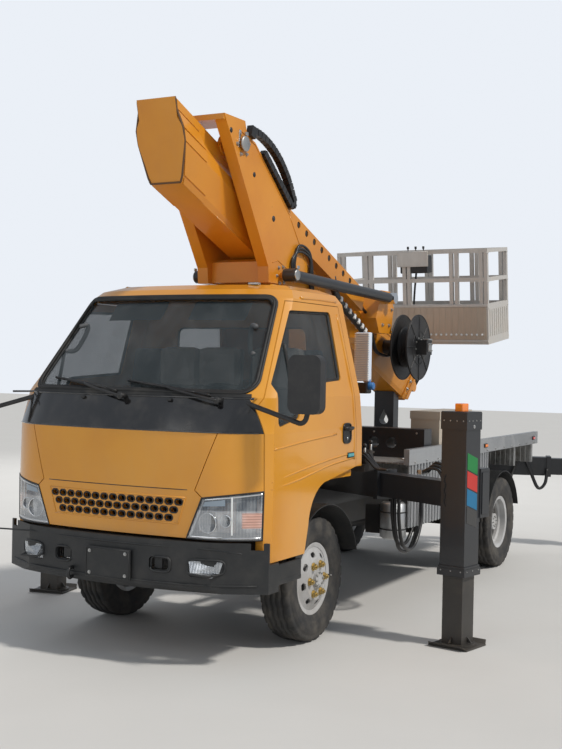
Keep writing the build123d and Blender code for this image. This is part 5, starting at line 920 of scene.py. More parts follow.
def grille():
    """Backing and mesh behind the panel's openings, their lips, the raised border and the seam over it."""
    backing = Piece("grille_backing", "truck", trim_black)
    low_z, high_z = 0.80, 0.95
    panel_y = front_face(0, 1.1).y

    def behind(x, depth):
        return panel_y + depth + 0.12 * (x / 0.9) ** 2

    outline = [(x, behind(x, 0.055), low_z) for x in spread(-0.43, 0.43, 31)]
    outline += [(x, y + 0.006, z) for x, y, z in reversed(outline)]
    backing.prism(outline, (0, 0, high_z - low_z))
    for x in spread(-0.42, 0.42, 58):
        backing.rod((x, behind(x, 0.05), low_z), (x, behind(x, 0.05), high_z), 0.0018, 0.0004, 6)
    backing.done()
    lips = Piece("grille_lips", "truck", trim_black)
    for loop in grille_loops():
        lips.ring(loop, 0.0048)
    # width and height of the raised border's corners
    border = ((-0.475, 0.962), (0.475, 0.962), (0.43, 0.815), (-0.43, 0.815))
    places = []
    for (x, z), (x2, z2) in zip(border, border[1:] + border[:1]):
        places += [front_face(x + (x2 - x) * step / 12, z + (z2 - z) * step / 12) for step in range(12)]
    lips.use(cab_paint).ring(places, 0.005)
    lips.use(trim_black).hose([front_face(x, 1.006, -0.001) for x in spread(-0.528, 0.528, 25)], 0.0028, 6, 1)
    lips.done()
    band = Piece("band_edges", "truck", black_band)
    low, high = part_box("cowl_band")
    for z in (low[2] + 0.004, high[2] - 0.004):
        band.hose([front_face(x, z) for x in spread(-0.84, 0.84, 41)], 0.006, 8, 1)
    band.done()


def headlamp_insides():
    """Reflector bowls, bulbs and seals of the headlamps, and thin plates on their lenses."""
    lamps = Piece("lamp_reflectors", "truck", chrome)
    glow = Piece("lamp_bulbs", "truck", white_plastic)
    seal = Piece("lamp_seals", "truck", trim_black)
    depth = 0.03
    for side in (1, -1):
        for parts, finish, corners in (
            (glow, white_plastic, ((0.731, 0.765), (0.738, 0.765), (0.738, 0.975), (0.731, 0.975))),
            (lamps, lamp_blue, ((0.580, 0.920), (0.700, 0.926), (0.700, 0.960), (0.592, 0.945))),
        ):
            parts.use(finish).laid("headlamps", [ahead(side * x, z) for x, z in corners], Y, 0.0015, 0.002, 2, 6)
        lamps.use(chrome)
        for x, z, radius in ((0.605, 0.828, 0.055), (0.70, 0.842, 0.034)):
            mouth = meet("headlamps", ahead(side * x, z), Y) + Y * 0.006
            bowl = [(depth * (1 - math.cos(math.pi / 2 * s / 8)), radius * (1 - s / 8 * 0.82)) for s in range(9)]
            lamps.spin(bowl + [(depth + 0.002, 0.002)], mouth, Y, 40)
            lamps.ring(circle(mouth, Y, radius, 28), 0.004)
            glow.spin(((0.0, 0.004), (0.004, 0.013), (0.012, 0.015), (0.024, 0.012)), mouth + Y * 0.008, Y, 20)
        edge = rim_loop("headlamps", X * side * 0.5 - Y)
        lamps.ring([place + Y * 0.006 for place in inward(edge, 0.012)], 0.007)
        seal.ring(edge, 0.005)
        seal.ring([place + Y * 0.035 for place in inward(edge, 0.02)], 0.02)
    for parts in (lamps, glow, seal):
        parts.done()


def grille_loops():
    """Edges of the panel's openings on its outside, one loop each."""
    near, shape = linked("front_panel", lambda edge: edge.calc_face_angle() > 0.9)
    loops, seen = [], set()
    for vert in near:
        if vert in seen:
            continue
        group = [vert]
        seen.add(vert)
        for one in group:
            fresh = [other for other in near[one] if other not in seen]
            seen.update(fresh)
            group += fresh
        places = [one.co.copy() for one in group]
        size = max(place.x for place in places) - min(place.x for place in places)
        if 0.01 < size < 0.06:
            middle = sum(places, Vector()) / len(places)
            places.sort(key=lambda place: math.atan2(place.z - middle.z, place.x - middle.x))
            loops.append((middle, places))
    shape.free()
    front = min(middle.y for middle, _ in loops)
    outer = {}
    for middle, loop in loops:
        key = (round(middle.x, 2), round(middle.z, 2))
        if key not in outer or middle.y < outer[key][0]:
            outer[key] = (middle.y, loop)
    return [loop for depth, loop in outer.values() if depth < front + 0.1]


cab_glazing()
grille()
headlamp_insides()


def bumper_face(x, z, lift=0.0):
    """Place on the bumper's front at a width and height."""
    place = meet("bumper", ahead(x, z), Y)
    if place is None or place.y > AXLE_Y - 0.7:
        place = Vector((x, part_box("bumper")[0][1] + 0.03, z))
    return place - Y * lift


def bumper_fittings():
    """Plate bracket, openings' mesh, fog lamp frames and tow hook of the bumper."""
    trim = Piece("bumper_trim", "truck", bumper_black)
    low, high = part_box("bumper")
    plate = bumper_face(0.008, 0.565, 0.014)
    trim.block(plate, (0.31, 0.016, 0.175), 0.004)
    for x in (-0.12, 0.12):
        trim.block(plate + X * x + Y * 0.01, (0.03, 0.03, 0.13), 0.003)
    corners = ((-0.148, -0.08), (0.148, -0.08), (0.148, 0.08), (-0.148, 0.08))
    trim.ring([plate + Vector((x, -0.008, z)) for x, z in corners], 0.004)
    for side in (1, -1):
        corners = ((0.515, 0.618), (0.70, 0.618), (0.682, 0.554), (0.538, 0.554))
        trim.use(lens).prism([bumper_face(side * x, z, 0.004) for x, z in corners], -Y * 0.004, 0.001)
        trim.use(bumper_black)
        for x, z, half_x, half_z in ((0.608, 0.586, 0.100, 0.042), (0.34, 0.585, 0.064, 0.042)):
            oblong = rounded(half_x, half_z, 0.55, 24)
            trim.ring([bumper_face(side * x + wide, z + tall, 0.002) for wide, tall in oblong], 0.007, 8)
        # mesh in the inner opening
        above = bumper_face(side * 0.34, 0.70)
        for x in spread(0.285, 0.397, 9):
            middle = Vector((side * x, above.y + 0.03, above.z))
            trim.rod(middle - Z * 0.15, middle - Z * 0.08, 0.002, 0.0004, 6)
    for z, radius in ((low[2] + 0.045, 0.006), (high[2] - 0.035, 0.005)):
        trim.hose([bumper_face(x, z, 0.001) for x in (-0.86, -0.6, -0.3, 0.0, 0.3, 0.6, 0.86)], radius, 8, 5)
    hook = bumper_face(-0.26, low[2] + 0.07)
    bends = ((0.02, 0), (-0.03, 0), (-0.045, -0.03), (-0.03, -0.055), (-0.005, -0.05))
    trim.use(trim_black).hose([hook + Y * y + Z * z for y, z in bends], 0.011, 10, 5)
    trim.done()
    places = [(plate + Vector((x, -0.008, z)), -Y) for x in (-0.124, 0.124) for z in (-0.062, 0.062)]
    bolts("bumper_bolts", "truck", places, 0.013, 0.007)


def door_fittings():
    """Handles in their recesses, pressed creases, side markers, drip rails and steps."""
    for name, side in SIDES:
        out = X * side

        def skin(back, z, lift=0.0, name=name, side=side, out=out):
            return meet(f"door_{name}", beside(side, back, z), -out) + out * lift

        handle = Piece(f"door_handle_{name}", f"{name}_door", trim_black)
        centre = skin(0.17, 1.29)
        outline = [centre + Y * y + Z * z for y, z in rounded(0.058, 0.06, 0.5, 28)]
        handle.prism([place - out * 0.002 for place in outline], out * 0.004)
        handle.ring([place + out * 0.003 for place in outline], 0.0055, 8)
        grip = ((-0.05, 0.006), (-0.035, 0.022), (0.035, 0.022), (0.05, 0.006))
        handle.hose([centre + Y * y + Z * 0.03 + out * lift for y, lift in grip], 0.011, 10, 5, False, 1.4)
        lock = centre - Z * 0.032
        handle.use(chrome).rod(lock + out * 0.002, lock + out * 0.008, 0.009, 0.001, 20)
        handle.done()
        creases = Piece(f"door_creases_{name}", f"{name}_door", cab_paint)
        # pressed lines: place behind the axle and height of each bend
        for line in (
            ((-0.80, 1.055), (-0.45, 1.10), (-0.1, 1.135), (0.28, 1.165)),
            ((-0.80, 1.015), (-0.5, 1.045), (-0.28, 1.075), (-0.05, 1.105), (0.28, 1.13)),
            ((-0.79, 1.235), (-0.4, 1.265), (0.02, 1.29)),
        ):
            creases.hose([skin(back, z, -0.002) for back, z in line], 0.0075, 8, 6, False, 0.8)
        folded = ((0.285, 1.12), (0.285, 1.5), (0.28, 1.8), (0.27, 2.04))
        creases.hose([skin(back, z, -0.003) for back, z in folded], 0.009, 8, 5)
        creases.done()
        marker = Piece(f"door_marker_{name}", f"{name}_door", teal_lens)
        spot = skin(0.225, 1.150, 0.004)
        marker.block(spot, (0.012, 0.085, 0.022), 0.004)
        marker.use(trim_black).block(spot - out * 0.003, (0.008, 0.098, 0.034), 0.003)
        marker.done()
        rail = Piece(f"drip_rail_{name}", "truck", cab_paint)
        roof = ((-0.62, 1.86), (-0.42, 2.06), (-0.2, 2.118), (0.05, 2.124), (0.3, 2.122))
        places = studs("cab_shell", [beside(side, back, z) for back, z in roof], out, 0.6)
        rail.hose([place + out * 0.003 for place, _ in places], 0.008, 8, 6)
        rail.done()
        step = Piece(f"cab_step_{name}", "truck", bumper_black)
        middle = Vector((side * 0.80, aft(-0.60), 0))
        step.block(middle + Z * 0.475, (0.17, 0.42, 0.03), 0.008)
        step.block(middle + out * 0.072 + Z * 0.52, (0.022, 0.42, 0.12), 0.008)
        for y in (-0.16, 0.16):
            step.block(middle + Y * y + Z * 0.55, (0.03, 0.03, 0.17), 0.003)
        for y in spread(-0.16, 0.16, 9):
            step.block(middle + Y * y + Z * 0.493, (0.14, 0.012, 0.008), 0.002)
        step.done()


def mirror_and_roof_fittings():
    """Mirror glass and its frame, the roof's small block and its pressed beads."""
    glassy = Piece("mirror_glass", "truck", chrome)
    shell = Piece("mirror_trim", "truck", trim_black)
    for side in (1, -1):
        centre = meet("mirrors", (side * 1.148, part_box("mirrors")[1][1] + 0.498, 1.605), -Y)
        glassy.block(centre + Y * 0.001, (0.162, 0.004, 0.275), 0.0015)
        shell.ring([centre + X * x + Z * z for x, z in rounded(0.088, 0.148, 0.45, 32)], 0.007, 8)
    shell.done()
    glassy.done()
    extras = Piece("roof_fittings", "truck", trim_black)
    extras.use(steel).block(meet("cab_shell", (0.45, aft(-0.25), 3.0), -Z) + Z * 0.006, (0.07, 0.04, 0.014), 0.005)
    extras.done()
    ribs = Piece("roof_beads", "truck", cab_paint)
    for x in spread(-0.54, 0.54, 7):
        backs = spread(-0.20, 0.24, 9)
        ribs.hose([meet("cab_shell", (x, aft(back), 3.0), -Z) - Z * 0.011 for back in backs], 0.018, 8, 4)
    ribs.done()


def cab_inside():
    """What shows through the glass: handles, visors, headrests in light covers, the lever and the vents."""
    inside = Piece("cab_inside_trim", "truck", cabin_grey)
    grip = ((0, 0, 0), (-0.045, 0.03, 0.005), (-0.04, 0.0, -0.07), (-0.01, -0.045, -0.15), (0.035, -0.09, -0.16))
    visor = ((0.10, -0.36, 2.085), (0.50, -0.36, 2.075), (0.50, -0.45, 1.97), (0.10, -0.455, 1.975))
    for side in (1, -1):
        top = Vector((side * 0.645, aft(-0.56), 1.93))
        inside.hose([top + Vector((side * x, y, z)) for x, y, z in grip], 0.014, 10, 6)
        inside.prism([(side * x, aft(back), z) for x, back, z in visor], (0, 0.012, 0.01), 0.004)
    inside.hose([(0.12, aft(-0.45), 1.24), (0.12, aft(-0.42), 1.36), (0.11, aft(-0.38), 1.47)], 0.009, 8, 5)
    inside.spin(((0, 0.006), (0.008, 0.02), (0.03, 0.024), (0.045, 0.012)), (0.11, aft(-0.378), 1.465), Z, 20)
    inside.use(seat_cover)
    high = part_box("seats")[1]
    for x, width in ((0.42, 0.36), (-0.33, 0.29), (-0.02, 0.29)):
        inside.block((x, high[1] - 0.15, high[2] - 0.12), (width, 0.10, 0.26), 0.045)
    inside.done()
    vents = Piece("dashboard_vents", "truck", trim_black)
    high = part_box("dashboard")[1]
    for x in (-0.6, -0.2, 0.18, 0.66):
        for blade in range(5):
            vents.block((x, high[1] - 0.03, high[2] - 0.055 - 0.014 * blade), (0.11, 0.012, 0.004), 0.001)
    vents.done()


bumper_fittings()
door_fittings()
mirror_and_roof_fittings()
cab_inside()


BOOM_HALF = 0.207
# behind the front axle and height: the boom's pivot, the cylinders' pins
PIN_PLACES = ((-0.12, 3.1), (0.42, 2.315))
SLEW_BACK = 1.05
HUB_ALONG_BOOM = 2.859


def collar_outline(grown):
    """Outline of the boom's folded section, grown, as (above, side) pairs."""
    half, top, widest, bottom = BOOM_HALF + grown, 0.137 + grown, 0.168 + grown, 0.118 + grown
    left = [(half, top), (0.15, top), (0.06, widest), (-0.005, widest)]
    left += [(-half + 0.034, bottom + 0.006), (-half, bottom - 0.01)]
    return left + [(above, -out) for above, out in reversed(left)]


def tail_start(above, out):
    """Place along the boom where its side begins, at a height above its axis, on the side that out lies on."""
    side = math.copysign(1, out)
    for along in (-0.70 + 0.01 * step for step in range(70)):
        skin = meet("base_boom", on_boom(along, above, side * 0.6), -X * side)
        if skin is not None and skin.x * side > 0.08:
            return along
    return 0.0


def turret_dress():
    """Pins, black discs as painted shade in round holes, weld seams and bolts of the turret."""
    pins = Piece("turret_pin_caps", "slewing_turret", steel)
    for side in (1, -1):
        for (back, z), radius in zip(PIN_PLACES, (0.05, 0.038)):
            for skin, out in studs("turret", [beside(side, back, z)], X * side):
                pins.spin(((0, radius), (0.008, radius), (0.011, radius - 0.004)), skin - out * 0.0005, out)
                pins.block(skin + out * 0.011 + Z * (radius + 0.012), (0.008, 0.03, 0.022), 0.002)
    # slot plate near the portal's head, and black discs down its side: painted shade in round holes
    skin = meet("turret", beside(1, -0.17, 3.13), -X)
    corners = ((-0.012, -0.06), (0.012, -0.06), (0.02, 0.05), (-0.004, 0.05))
    pins.use(chrome).prism([skin + Vector((0, y, z)) for y, z in corners], X * 0.004, 0.001)
    pins.use(trim_black)
    for back, z, radius in (
        (-0.27, 3.16, 0.017), (0.03, 2.93, 0.017), (0.30, 2.68, 0.02), (0.80, 2.20, 0.03), (1.1, 1.95, 0.03)
    ):
        for side in (1, -1):
            for skin, out in studs("turret", [beside(side, back, z)], X * side):
                pins.spin(((0, radius), (0.0012, radius)), skin, out, 24)
    pins.done()
    seams = Piece("turret_weld_seams", "slewing_turret", arm_paint)
    for side in (1, -1):
        for line in (
            ((-0.165, 3.195), (0.045, 3.13), (0.53, 2.745), (0.757, 2.478), (1.177, 2.108), (1.437, 1.748)),
            ((1.437, 1.70), (1.437, 1.345)),
            ((0.30, 2.40), (0.38, 2.42), (0.58, 2.35), (0.62, 2.28)),
        ):
            starts = []
            for (back, z), (back2, z2) in zip(line, line[1:]):
                for share in (0.0, 0.5, 1.0):
                    starts.append(beside(side, back + (back2 - back) * share - 0.008, z + (z2 - z) * share - 0.010))
            places = [skin for skin, _ in studs("turret", starts, X * side, 0.265) if abs(skin.x) < 0.285]
            if len(places) > 2:
                seams.hose(places, 0.004, 6, 2)
    seams.ring(circle((0, aft(SLEW_BACK), 1.332), Z, 0.396, 60), 0.006)
    seams.done()
    places = [(place, Z) for place in circle((0, aft(SLEW_BACK), 1.3305), Z, 0.372, 28)]
    bolts("slew_ring_bolts", "slewing_turret", places, 0.024, 0.014)
    places = []
    for side in (1, -1):
        for (back, z), radius in zip(PIN_PLACES, (0.074, 0.06)):
            places += studs("turret", circle(beside(side, back, z), X, radius, 6, 0.4), X * side, 0.27)
    bolts("pin_cap_bolts", "slewing_turret", places, 0.016, 0.009)


def boom_welds():
    """Weld seams along the boom, doubled plates and a brown weld round its tail, dark discs as painted shade behind the
    tray's holes.
    """
    welds = Piece("boom_weld_seams", "boom", arm_paint)
    for side in (1, -1):
        for above, out, start in (
            (BOOM_HALF - 0.003, 0.135, 0.02), (0.152, 0.139, 0.02), (-BOOM_HALF + 0.003, 0.108, 0.12)
        ):
            places = [on_boom(along, above, side * out) for along in (start, 0.8, 1.6, 2.4, 3.2, 3.47)]
            welds.hose(places, 0.0042, 6, 2)
    # doubled plates round the tail, one to each side facet
    outline = collar_outline(0.0)
    facets = list(zip(outline, outline[1:]))
    for (above, out), (above2, out2) in facets[:5] + facets[6:]:
        rim = [(above + (above2 - above) * share, out + (out2 - out) * share) for share in (0.06, 0.94)]
        starts = [tail_start(*place) + 0.012 for place in rim]
        corners = [on_boom(starts[end] + reach, *rim[end]) for end, reach in ((0, 0), (1, 0), (1, 0.26), (0, 0.26))]
        facing = (corners[1] - corners[0]).cross(BOOM_WAY).normalized()
        facing *= 1 if facing.x * sum(corners, Vector()).x > 0 else -1
        welds.prism(corners, facing * 0.005, 0.001)
    rim = [on_boom(tail_start(above * 0.97, out), above, out) for above, out in outline]
    places = [first.lerp(second, step / 6) for first, second in zip(rim, rim[1:] + rim[:1]) for step in range(6)]
    welds.use(weld_brown).ring(places, 0.0065)
    # dark discs behind the tray's holes: painted shade in the holes
    for hole in range(9):
        welds.use(cast).spin(((0, 0.029), (0.002, 0.029)), on_boom(0.929 + 0.132 * hole, 0.140, 0.2425), -X, 24)
    welds.use(arm_paint)
    for along in (3.485, 3.555):
        welds.ring([on_boom(along, above, out) for above, out in collar_outline(0.012)], 0.004)
    welds.done()
    places = []
    for side in (1, -1):
        for above in (-0.13, -0.06, 0.01, 0.08):
            skin, normal = surface("base_boom", on_boom(3.52, above, side * 0.6), -X * side)
            if skin is not None:
                places.append((skin, normal if normal.dot(X * side) > 0 else X * side))
    places += [(meet("base_boom", on_boom(3.52, 0.6, offset), -BOOM_UP), BOOM_UP) for offset in (-0.09, 0.0, 0.09)]
    eye_bolts = ((2.09, 2.30), (2.20, 2.30), (2.09, 2.05), (2.22, 2.05), (2.27, 2.18))
    for side in (1, -1):
        places += studs("base_boom", [beside(side, back, z) for back, z in eye_bolts], X * side, 0.29)
    bolts("boom_bolts", "boom", places, 0.02, 0.011)


def boom_hoses():
    """Pipes and clamps on the boom's back, hoses at its side and the chain that hangs from the tray's end."""
    lines = Piece("boom_hoses", "boom", hose_black)
    for offset in (-0.06, -0.035, 0.05):
        places = [on_boom(along, BOOM_HALF + 0.010, offset) for along in (0.25, 1.0, 1.8, 2.6, 3.42)]
        lines.hose(places, 0.0085, 8, 4)
    for number in (0, 1):
        out = 0.188 + number * 0.012
        bends = (
            (2.18, 0.10 - number * 0.02, 0.2), (2.35, 0.06, out + 0.01), (2.52, -0.08, out + 0.015),
            (2.62, -0.14, out + 0.02), (2.80, -0.10, out + 0.04), (2.86, -0.02, out + 0.05),
        )
        lines.hose([on_boom(*bend) for bend in bends], 0.011, 8, 6)
    bends = ((1.60, 0.06), (1.72, -0.045), (1.90, -0.07), (2.08, -0.078), (2.24, -0.09), (2.36, -0.115))
    route = [on_boom(along, above, 0.225) for along, above in bends]
    lines.hose(route, 0.03, 8, 8, False, 0.8)
    lines.use(white_plastic)
    for first, second in zip(route[1:], route[2:]):
        way = (second - first).normalized()
        for share in (0.25, 0.75):
            lines.block(first.lerp(second, share), (0.066, 0.03, 0.036), 0.004, (X, way, way.cross(X)))
    lines.use(trim_black)
    for along in (0.25, 0.9, 1.5, 2.1, 2.7, 3.3):
        centre = on_boom(along, BOOM_HALF + 0.009, -0.005)
        lines.block(centre, (0.15, 0.024, 0.024), 0.003, (X, BOOM_WAY, BOOM_UP))
    lines.done()


def chain_sides():
    """Side plates and pins of the energy chains, on the boom's tray and on the portal."""
    tray = Piece("tray_chain_plates", "boom", hose_black)
    for link in range(21):
        skin = meet("energy_chain", on_boom(0.77 + 0.0645 * link, 0.4, 0.205), -BOOM_UP)
        for out in (-0.0261, 0.0279):
            if skin is not None:
                tray.block(skin + X * out, (0.008, 0.05, 0.012), 0.002, (X, BOOM_WAY, BOOM_UP))
    tray.done()
    loop = Piece("portal_chain_bars", "slewing_turret", steel)
    low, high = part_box("portal_chain")
    for y in spread(low[1] + 0.05, high[1] - 0.07, 15):
        skin, normal = surface("portal_chain", ((low[0] + high[0]) / 2, y, high[2] + 0.3), -Z)
        if skin is not None:
            ways = (X, Vector((0, normal.z, -normal.y)), normal)
            loop.block(skin + normal * 0.001, (0.046, 0.008, 0.004), 0.001, ways)
    loop.done()


def small_parts():
    """Hose loop on the portal, the finned plate and blue fitting by its foot."""
    loop = Piece("portal_hoses", "slewing_turret", hose_black)
    x = 0.292
    for shift in (0.0, 0.02, 0.04):
        # out from the portal's side, place behind the axle and height of the loop's bends
        bends = (
            (0, 0.60 - shift, 2.30), (0, 0.585 - shift, 2.42), (0.004, 0.64, 2.535 - shift),
            (0.004, 0.80, 2.50 - shift), (0, 0.86 - shift, 2.33), (0, 0.88 - shift, 2.15),
        )
        loop.hose([(x + out, aft(back), z) for out, back, z in bends], 0.009)
    loop.use(steel)
    for back, z in ((0.60, 2.30), (0.875, 2.16)):
        loop.block((x, aft(back - 0.012), z), (0.03, 0.07, 0.04), 0.004)
    loop.done()
    fins = Piece("finned_plate", "slewing_turret", fin_grey)
    centre = Vector((0.465, aft(1.38), 1.785))
    fins.block(centre, (0.11, 0.05, 0.36), 0.004)
    fins.use(white_plastic)
    for fin in range(27):
        fins.block(centre - Y * 0.034 + Z * (-0.169 + 0.013 * fin), (0.112, 0.022, 0.007), 0.0015)
    fins.use(steel)
    for height in (-0.12, 0.12):
        fins.block(centre + Vector((-0.12, 0.01, height)), (0.16, 0.03, 0.04), 0.003)
    fitting = centre + Vector((0.048, 0.0, -0.215))
    fins.use(blue_plastic).spin(((-0.04, 0.022), (-0.036, 0.028), (0.036, 0.028), (0.04, 0.022)), fitting, X, 24)
    fins.rod(fitting, fitting + Z * 0.05, 0.012)
    fins.use(trim_black).block(centre + Vector((-0.06, 0.0, -0.23)), (0.22, 0.09, 0.08), 0.01)
    fins.block(centre + Vector((-0.18, 0.0, -0.22)), (0.06, 0.06, 0.05), 0.004)
    fins.done()


def reel_dress():
    """Spokes, rims, wound cable and bracket of the cable reel."""
    reel = Piece("reel_trim", "boom", trim_black)
    hub = on_boom(HUB_ALONG_BOOM, 0.0)
    outer = hub + X * 0.4705
    for spoke in range(8):
        angle = 2 * math.pi * spoke / 8
        way = Y * math.cos(angle) + Z * math.sin(angle)
        reel.hose([outer + way * reach for reach in (0.085, 0.17, 0.262)], 0.006, 8, 3)
    for x in (0.328, 0.334, 0.464, 0.470):
        reel.ring(circle(hub + X * x, X, 0.266, 64), 0.0045)
    reel.ring(circle(outer, X, 0.14, 48), 0.004)
    reel.use(hose_black)
    turns, winds, steps = [], 9, 24
    for step in range(steps * winds):
        angle = 2 * math.pi * step / steps
        way = Y * math.cos(angle) + Z * math.sin(angle)
        turns.append(hub + X * (0.345 + 0.112 * step / (steps * winds)) + way * 0.162)
    reel.hose(turns, 0.0075, 8, 1)
    tail = [on_boom(*bend) for bend in ((3.12, 0.13, 0.33), (3.3, 0.10, 0.22), (3.5, 0.11, 0.19), (3.66, 0.08, 0.17))]
    reel.hose([turns[-1], hub + Vector((0.43, 0.15, 0.09))] + tail, 0.0075, 8)
    reel.use(steel)
    reel.block(hub + Vector((0.545, 0, 0.066)), (0.05, 0.09, 0.012), 0.002)
    reel.block(hub + X * 0.565, (0.012, 0.07, 0.07), 0.004)
    reel.done()
    spots = [hub + Vector((0.5708, y, z)) for y in (-0.025, 0.025) for z in (-0.025, 0.025)]
    spots += circle(hub + X * 0.4712, X, 0.075, 8, 0.2)
    bolts("reel_bolts", "boom", [(spot, X) for spot in spots], 0.011, 0.006)


turret_dress()
boom_welds()
boom_hoses()
chain_sides()
small_parts()
reel_dress()


# each leg: side, place across and behind the axle, turn of its beam
LEGS = (
    ("front_left", 1, 1.58, 0.38, -11),
    ("front_right", -1, 1.58, 0.38, -11),
    ("rear_left", 1, 1.50, 4.99, 20),
    ("rear_right", -1, 1.50, 4.99, 20),
)
LEG_HALF = 0.086
BEAM_TOP = {"front": 1.03, "rear": 0.875}
COLLAR_Z = 0.472
LAMP_Z = 0.59


def leg_dress():
    """Caps, bolts, lamps, coloured plates, boxes, collars, feet and hoses of the four stabiliser legs."""
    for name, side, x, back, turn in LEGS:
        turn = math.radians(turn)
        out = Vector((side * math.cos(turn), math.sin(turn), 0))
        # across points to the rear on every leg
        across = Vector((-side * math.sin(turn), math.cos(turn), 0))
        ways = (out, across, Z)
        centre = Vector((side * x, aft(back), 0))
        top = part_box(f"{name}_outrigger_beam")[1][2]
        end = name.split("_")[0]
        beam_top = BEAM_TOP[end]
        trim = Piece(f"{name}_leg_trim", f"{name}_beam", frame_paint)
        box = centre + across * (LEG_HALF + 0.055) * (1 if end == "front" else -1) + Z * 0.94
        for place, size, edge in (
            (centre + Z * (top - 0.004), (0.182, 0.182, 0.02), 0.004),
            (centre + Z * (top - 0.055), (0.177, 0.177, 0.06), 0.002),
            (centre + Z * COLLAR_Z, (0.186, 0.186, 0.058), 0.003),
            (box + out * 0.03, (0.13, 0.11, 0.305), 0.004),
            (box + out * 0.098, (0.006, 0.085, 0.26), 0.001),
        ):
            trim.block(place, size, edge, ways)
        button = ((0, 0.013), (0.004, 0.013), (0.006, 0.010))
        trim.use(steel).spin(button, centre + out * (LEG_HALF + 0.001) + Z * (top - 0.085), out, 20)
        trim.use(amber).block(centre + Z * (top + 0.030), (0.055, 0.075, 0.05), 0.006, ways)
        # slanted coloured plates down the outer face, all blank
        corners = ((-0.068, 0.070), (0.055, 0.030), (0.055, -0.070), (-0.068, -0.030))
        for step, finish in enumerate((green_plate, red_plate, blue_plate, black_plate)):
            middle = centre + out * (LEG_HALF + 0.0005) + Z * (1.127 - 0.109 * step)
            trim.use(finish).prism([middle + across * wide + Z * high for wide, high in corners], out * 0.0014)
        trim.use(hose_black)
        for number, shift in enumerate((-0.035, 0.0, 0.03)):
            # back from the leg along its beam, and above the beam
            bends = (
                (0.29, 0.024), (0.25, 0.026), (0.20, 0.05 + 0.015 * number), (0.14, 0.045 + 0.01 * number),
                (LEG_HALF + 0.014, -0.01),
            )
            places = [centre - out * reach + across * shift + Z * (beam_top + above) for reach, above in bends]
            trim.hose(places, 0.010, 8, 6)
        trim.use(steel).block(centre - out * 0.265 + Z * (beam_top + 0.024), (0.03, 0.10, 0.03), 0.004, ways)
        beside = centre - across * (LEG_HALF + 0.004)
        waves = [beside - out * (0.058 - 0.006 * (-1) ** step) + Z * (1.055 - 0.032 * step) for step in range(7)]
        trim.use(trim_black).hose(waves, 0.0028, 6, 5)
        trim.done()
        places = []
        for way in (out, across, -out, -across):
            for reach, shares, z in (
                (0.0885, (-0.068, -0.023, 0.023, 0.068), top - 0.05), (0.093, (-0.07, 0.0, 0.07), COLLAR_Z)
            ):
                places += [(centre + way * reach + Z.cross(way) * share + Z * z, way) for share in shares]
        bolts(f"{name}_leg_bolts", f"{name}_beam", places, 0.008, 0.006)
        foot = Piece(f"{name}_foot_plate", f"{name}_leg_body", inner_leg_paint)
        low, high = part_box(f"{name}_leg")
        middle = Vector(((low[0] + high[0]) / 2, (low[1] + high[1]) / 2, 0))
        foot.block(middle + Z * 0.006, (0.27, 0.24, 0.009), 0.003, ways)
        rim = ((0.112, -0.135, 0.004), (0.112, 0.135, 0.004), (0.145, 0.12, 0.026), (0.145, -0.12, 0.026))
        for way in (across, -across):
            foot.prism([middle + way * reach + out * end + Z * z for reach, end, z in rim], Z * 0.006, 0.001)
        gusset = ((0.066, 0.03), (0.105, 0.03), (0.066, 0.07))
        for way in (out, across, -out, -across):
            beside = Z.cross(way)
            places = [middle + way * reach + beside * 0.004 + Z * height for reach, height in gusset]
            foot.prism(places, beside * -0.008, 0.001)
        foot.done()


def valve_group():
    """Valve block by the left housing with its spools and hoses, and the hose loops below it."""
    valves = Piece("valve_cluster", "truck", cast)
    base = Vector((0.82, aft(0.60), 1.045))
    for offset, size in (
        ((0, 0, 0), (0.12, 0.20, 0.05)),
        ((0, 0.02, 0.045), (0.09, 0.14, 0.05)),
        ((-0.02, -0.06, 0.05), (0.05, 0.04, 0.06)),
        ((0.02, 0.05, 0.085), (0.05, 0.05, 0.05)),
    ):
        valves.block(base + Vector(offset), size, 0.006)
    knob = ((0, 0.006), (0.006, 0.013), (0.02, 0.013), (0.026, 0.006))
    for dx, dy, tall in ((0.0, -0.05, 0.10), (0.02, -0.01, 0.13), (0.0, 0.03, 0.12), (0.03, 0.065, 0.15)):
        head = base + Vector((dx, dy, tall))
        valves.use(steel).rod(base + Vector((dx, dy, 0.03)), head, 0.008)
        valves.use(trim_black).spin(knob, head, Z, 16)
    valves.use(hose_black)
    for number in range(4):
        shift = 0.03 * number
        bends = (
            (-0.02, -0.06 + shift, 0.04), (0.03, -0.075 + shift, 0.085 + 0.01 * (number % 2)),
            (0.09, -0.10 + shift * 0.8, 0.05), (0.16, -0.135 + shift * 0.6, 0.005), (0.25, -0.165 + shift * 0.4, 0.002),
        )
        valves.hose([base + Vector(bend) for bend in bends], 0.0085, 8, 6)
    loop_start = Vector((0.95, aft(0.86), 0.84))
    for shift, low in ((0.0, 0.0), (0.03, 0.02), (-0.02, 0.05)):
        bends = (
            (0, 0, 0), (0, 0.01, -0.2 + low), (0, 0.09, -0.37 + low), (0, 0.28, -0.40 + low), (0, 0.42, -0.24 + low),
            (-0.02, 0.46, 0),
        )
        valves.hose([loop_start + X * shift + Vector(bend) for bend in bends], 0.0125)
    valves.done()


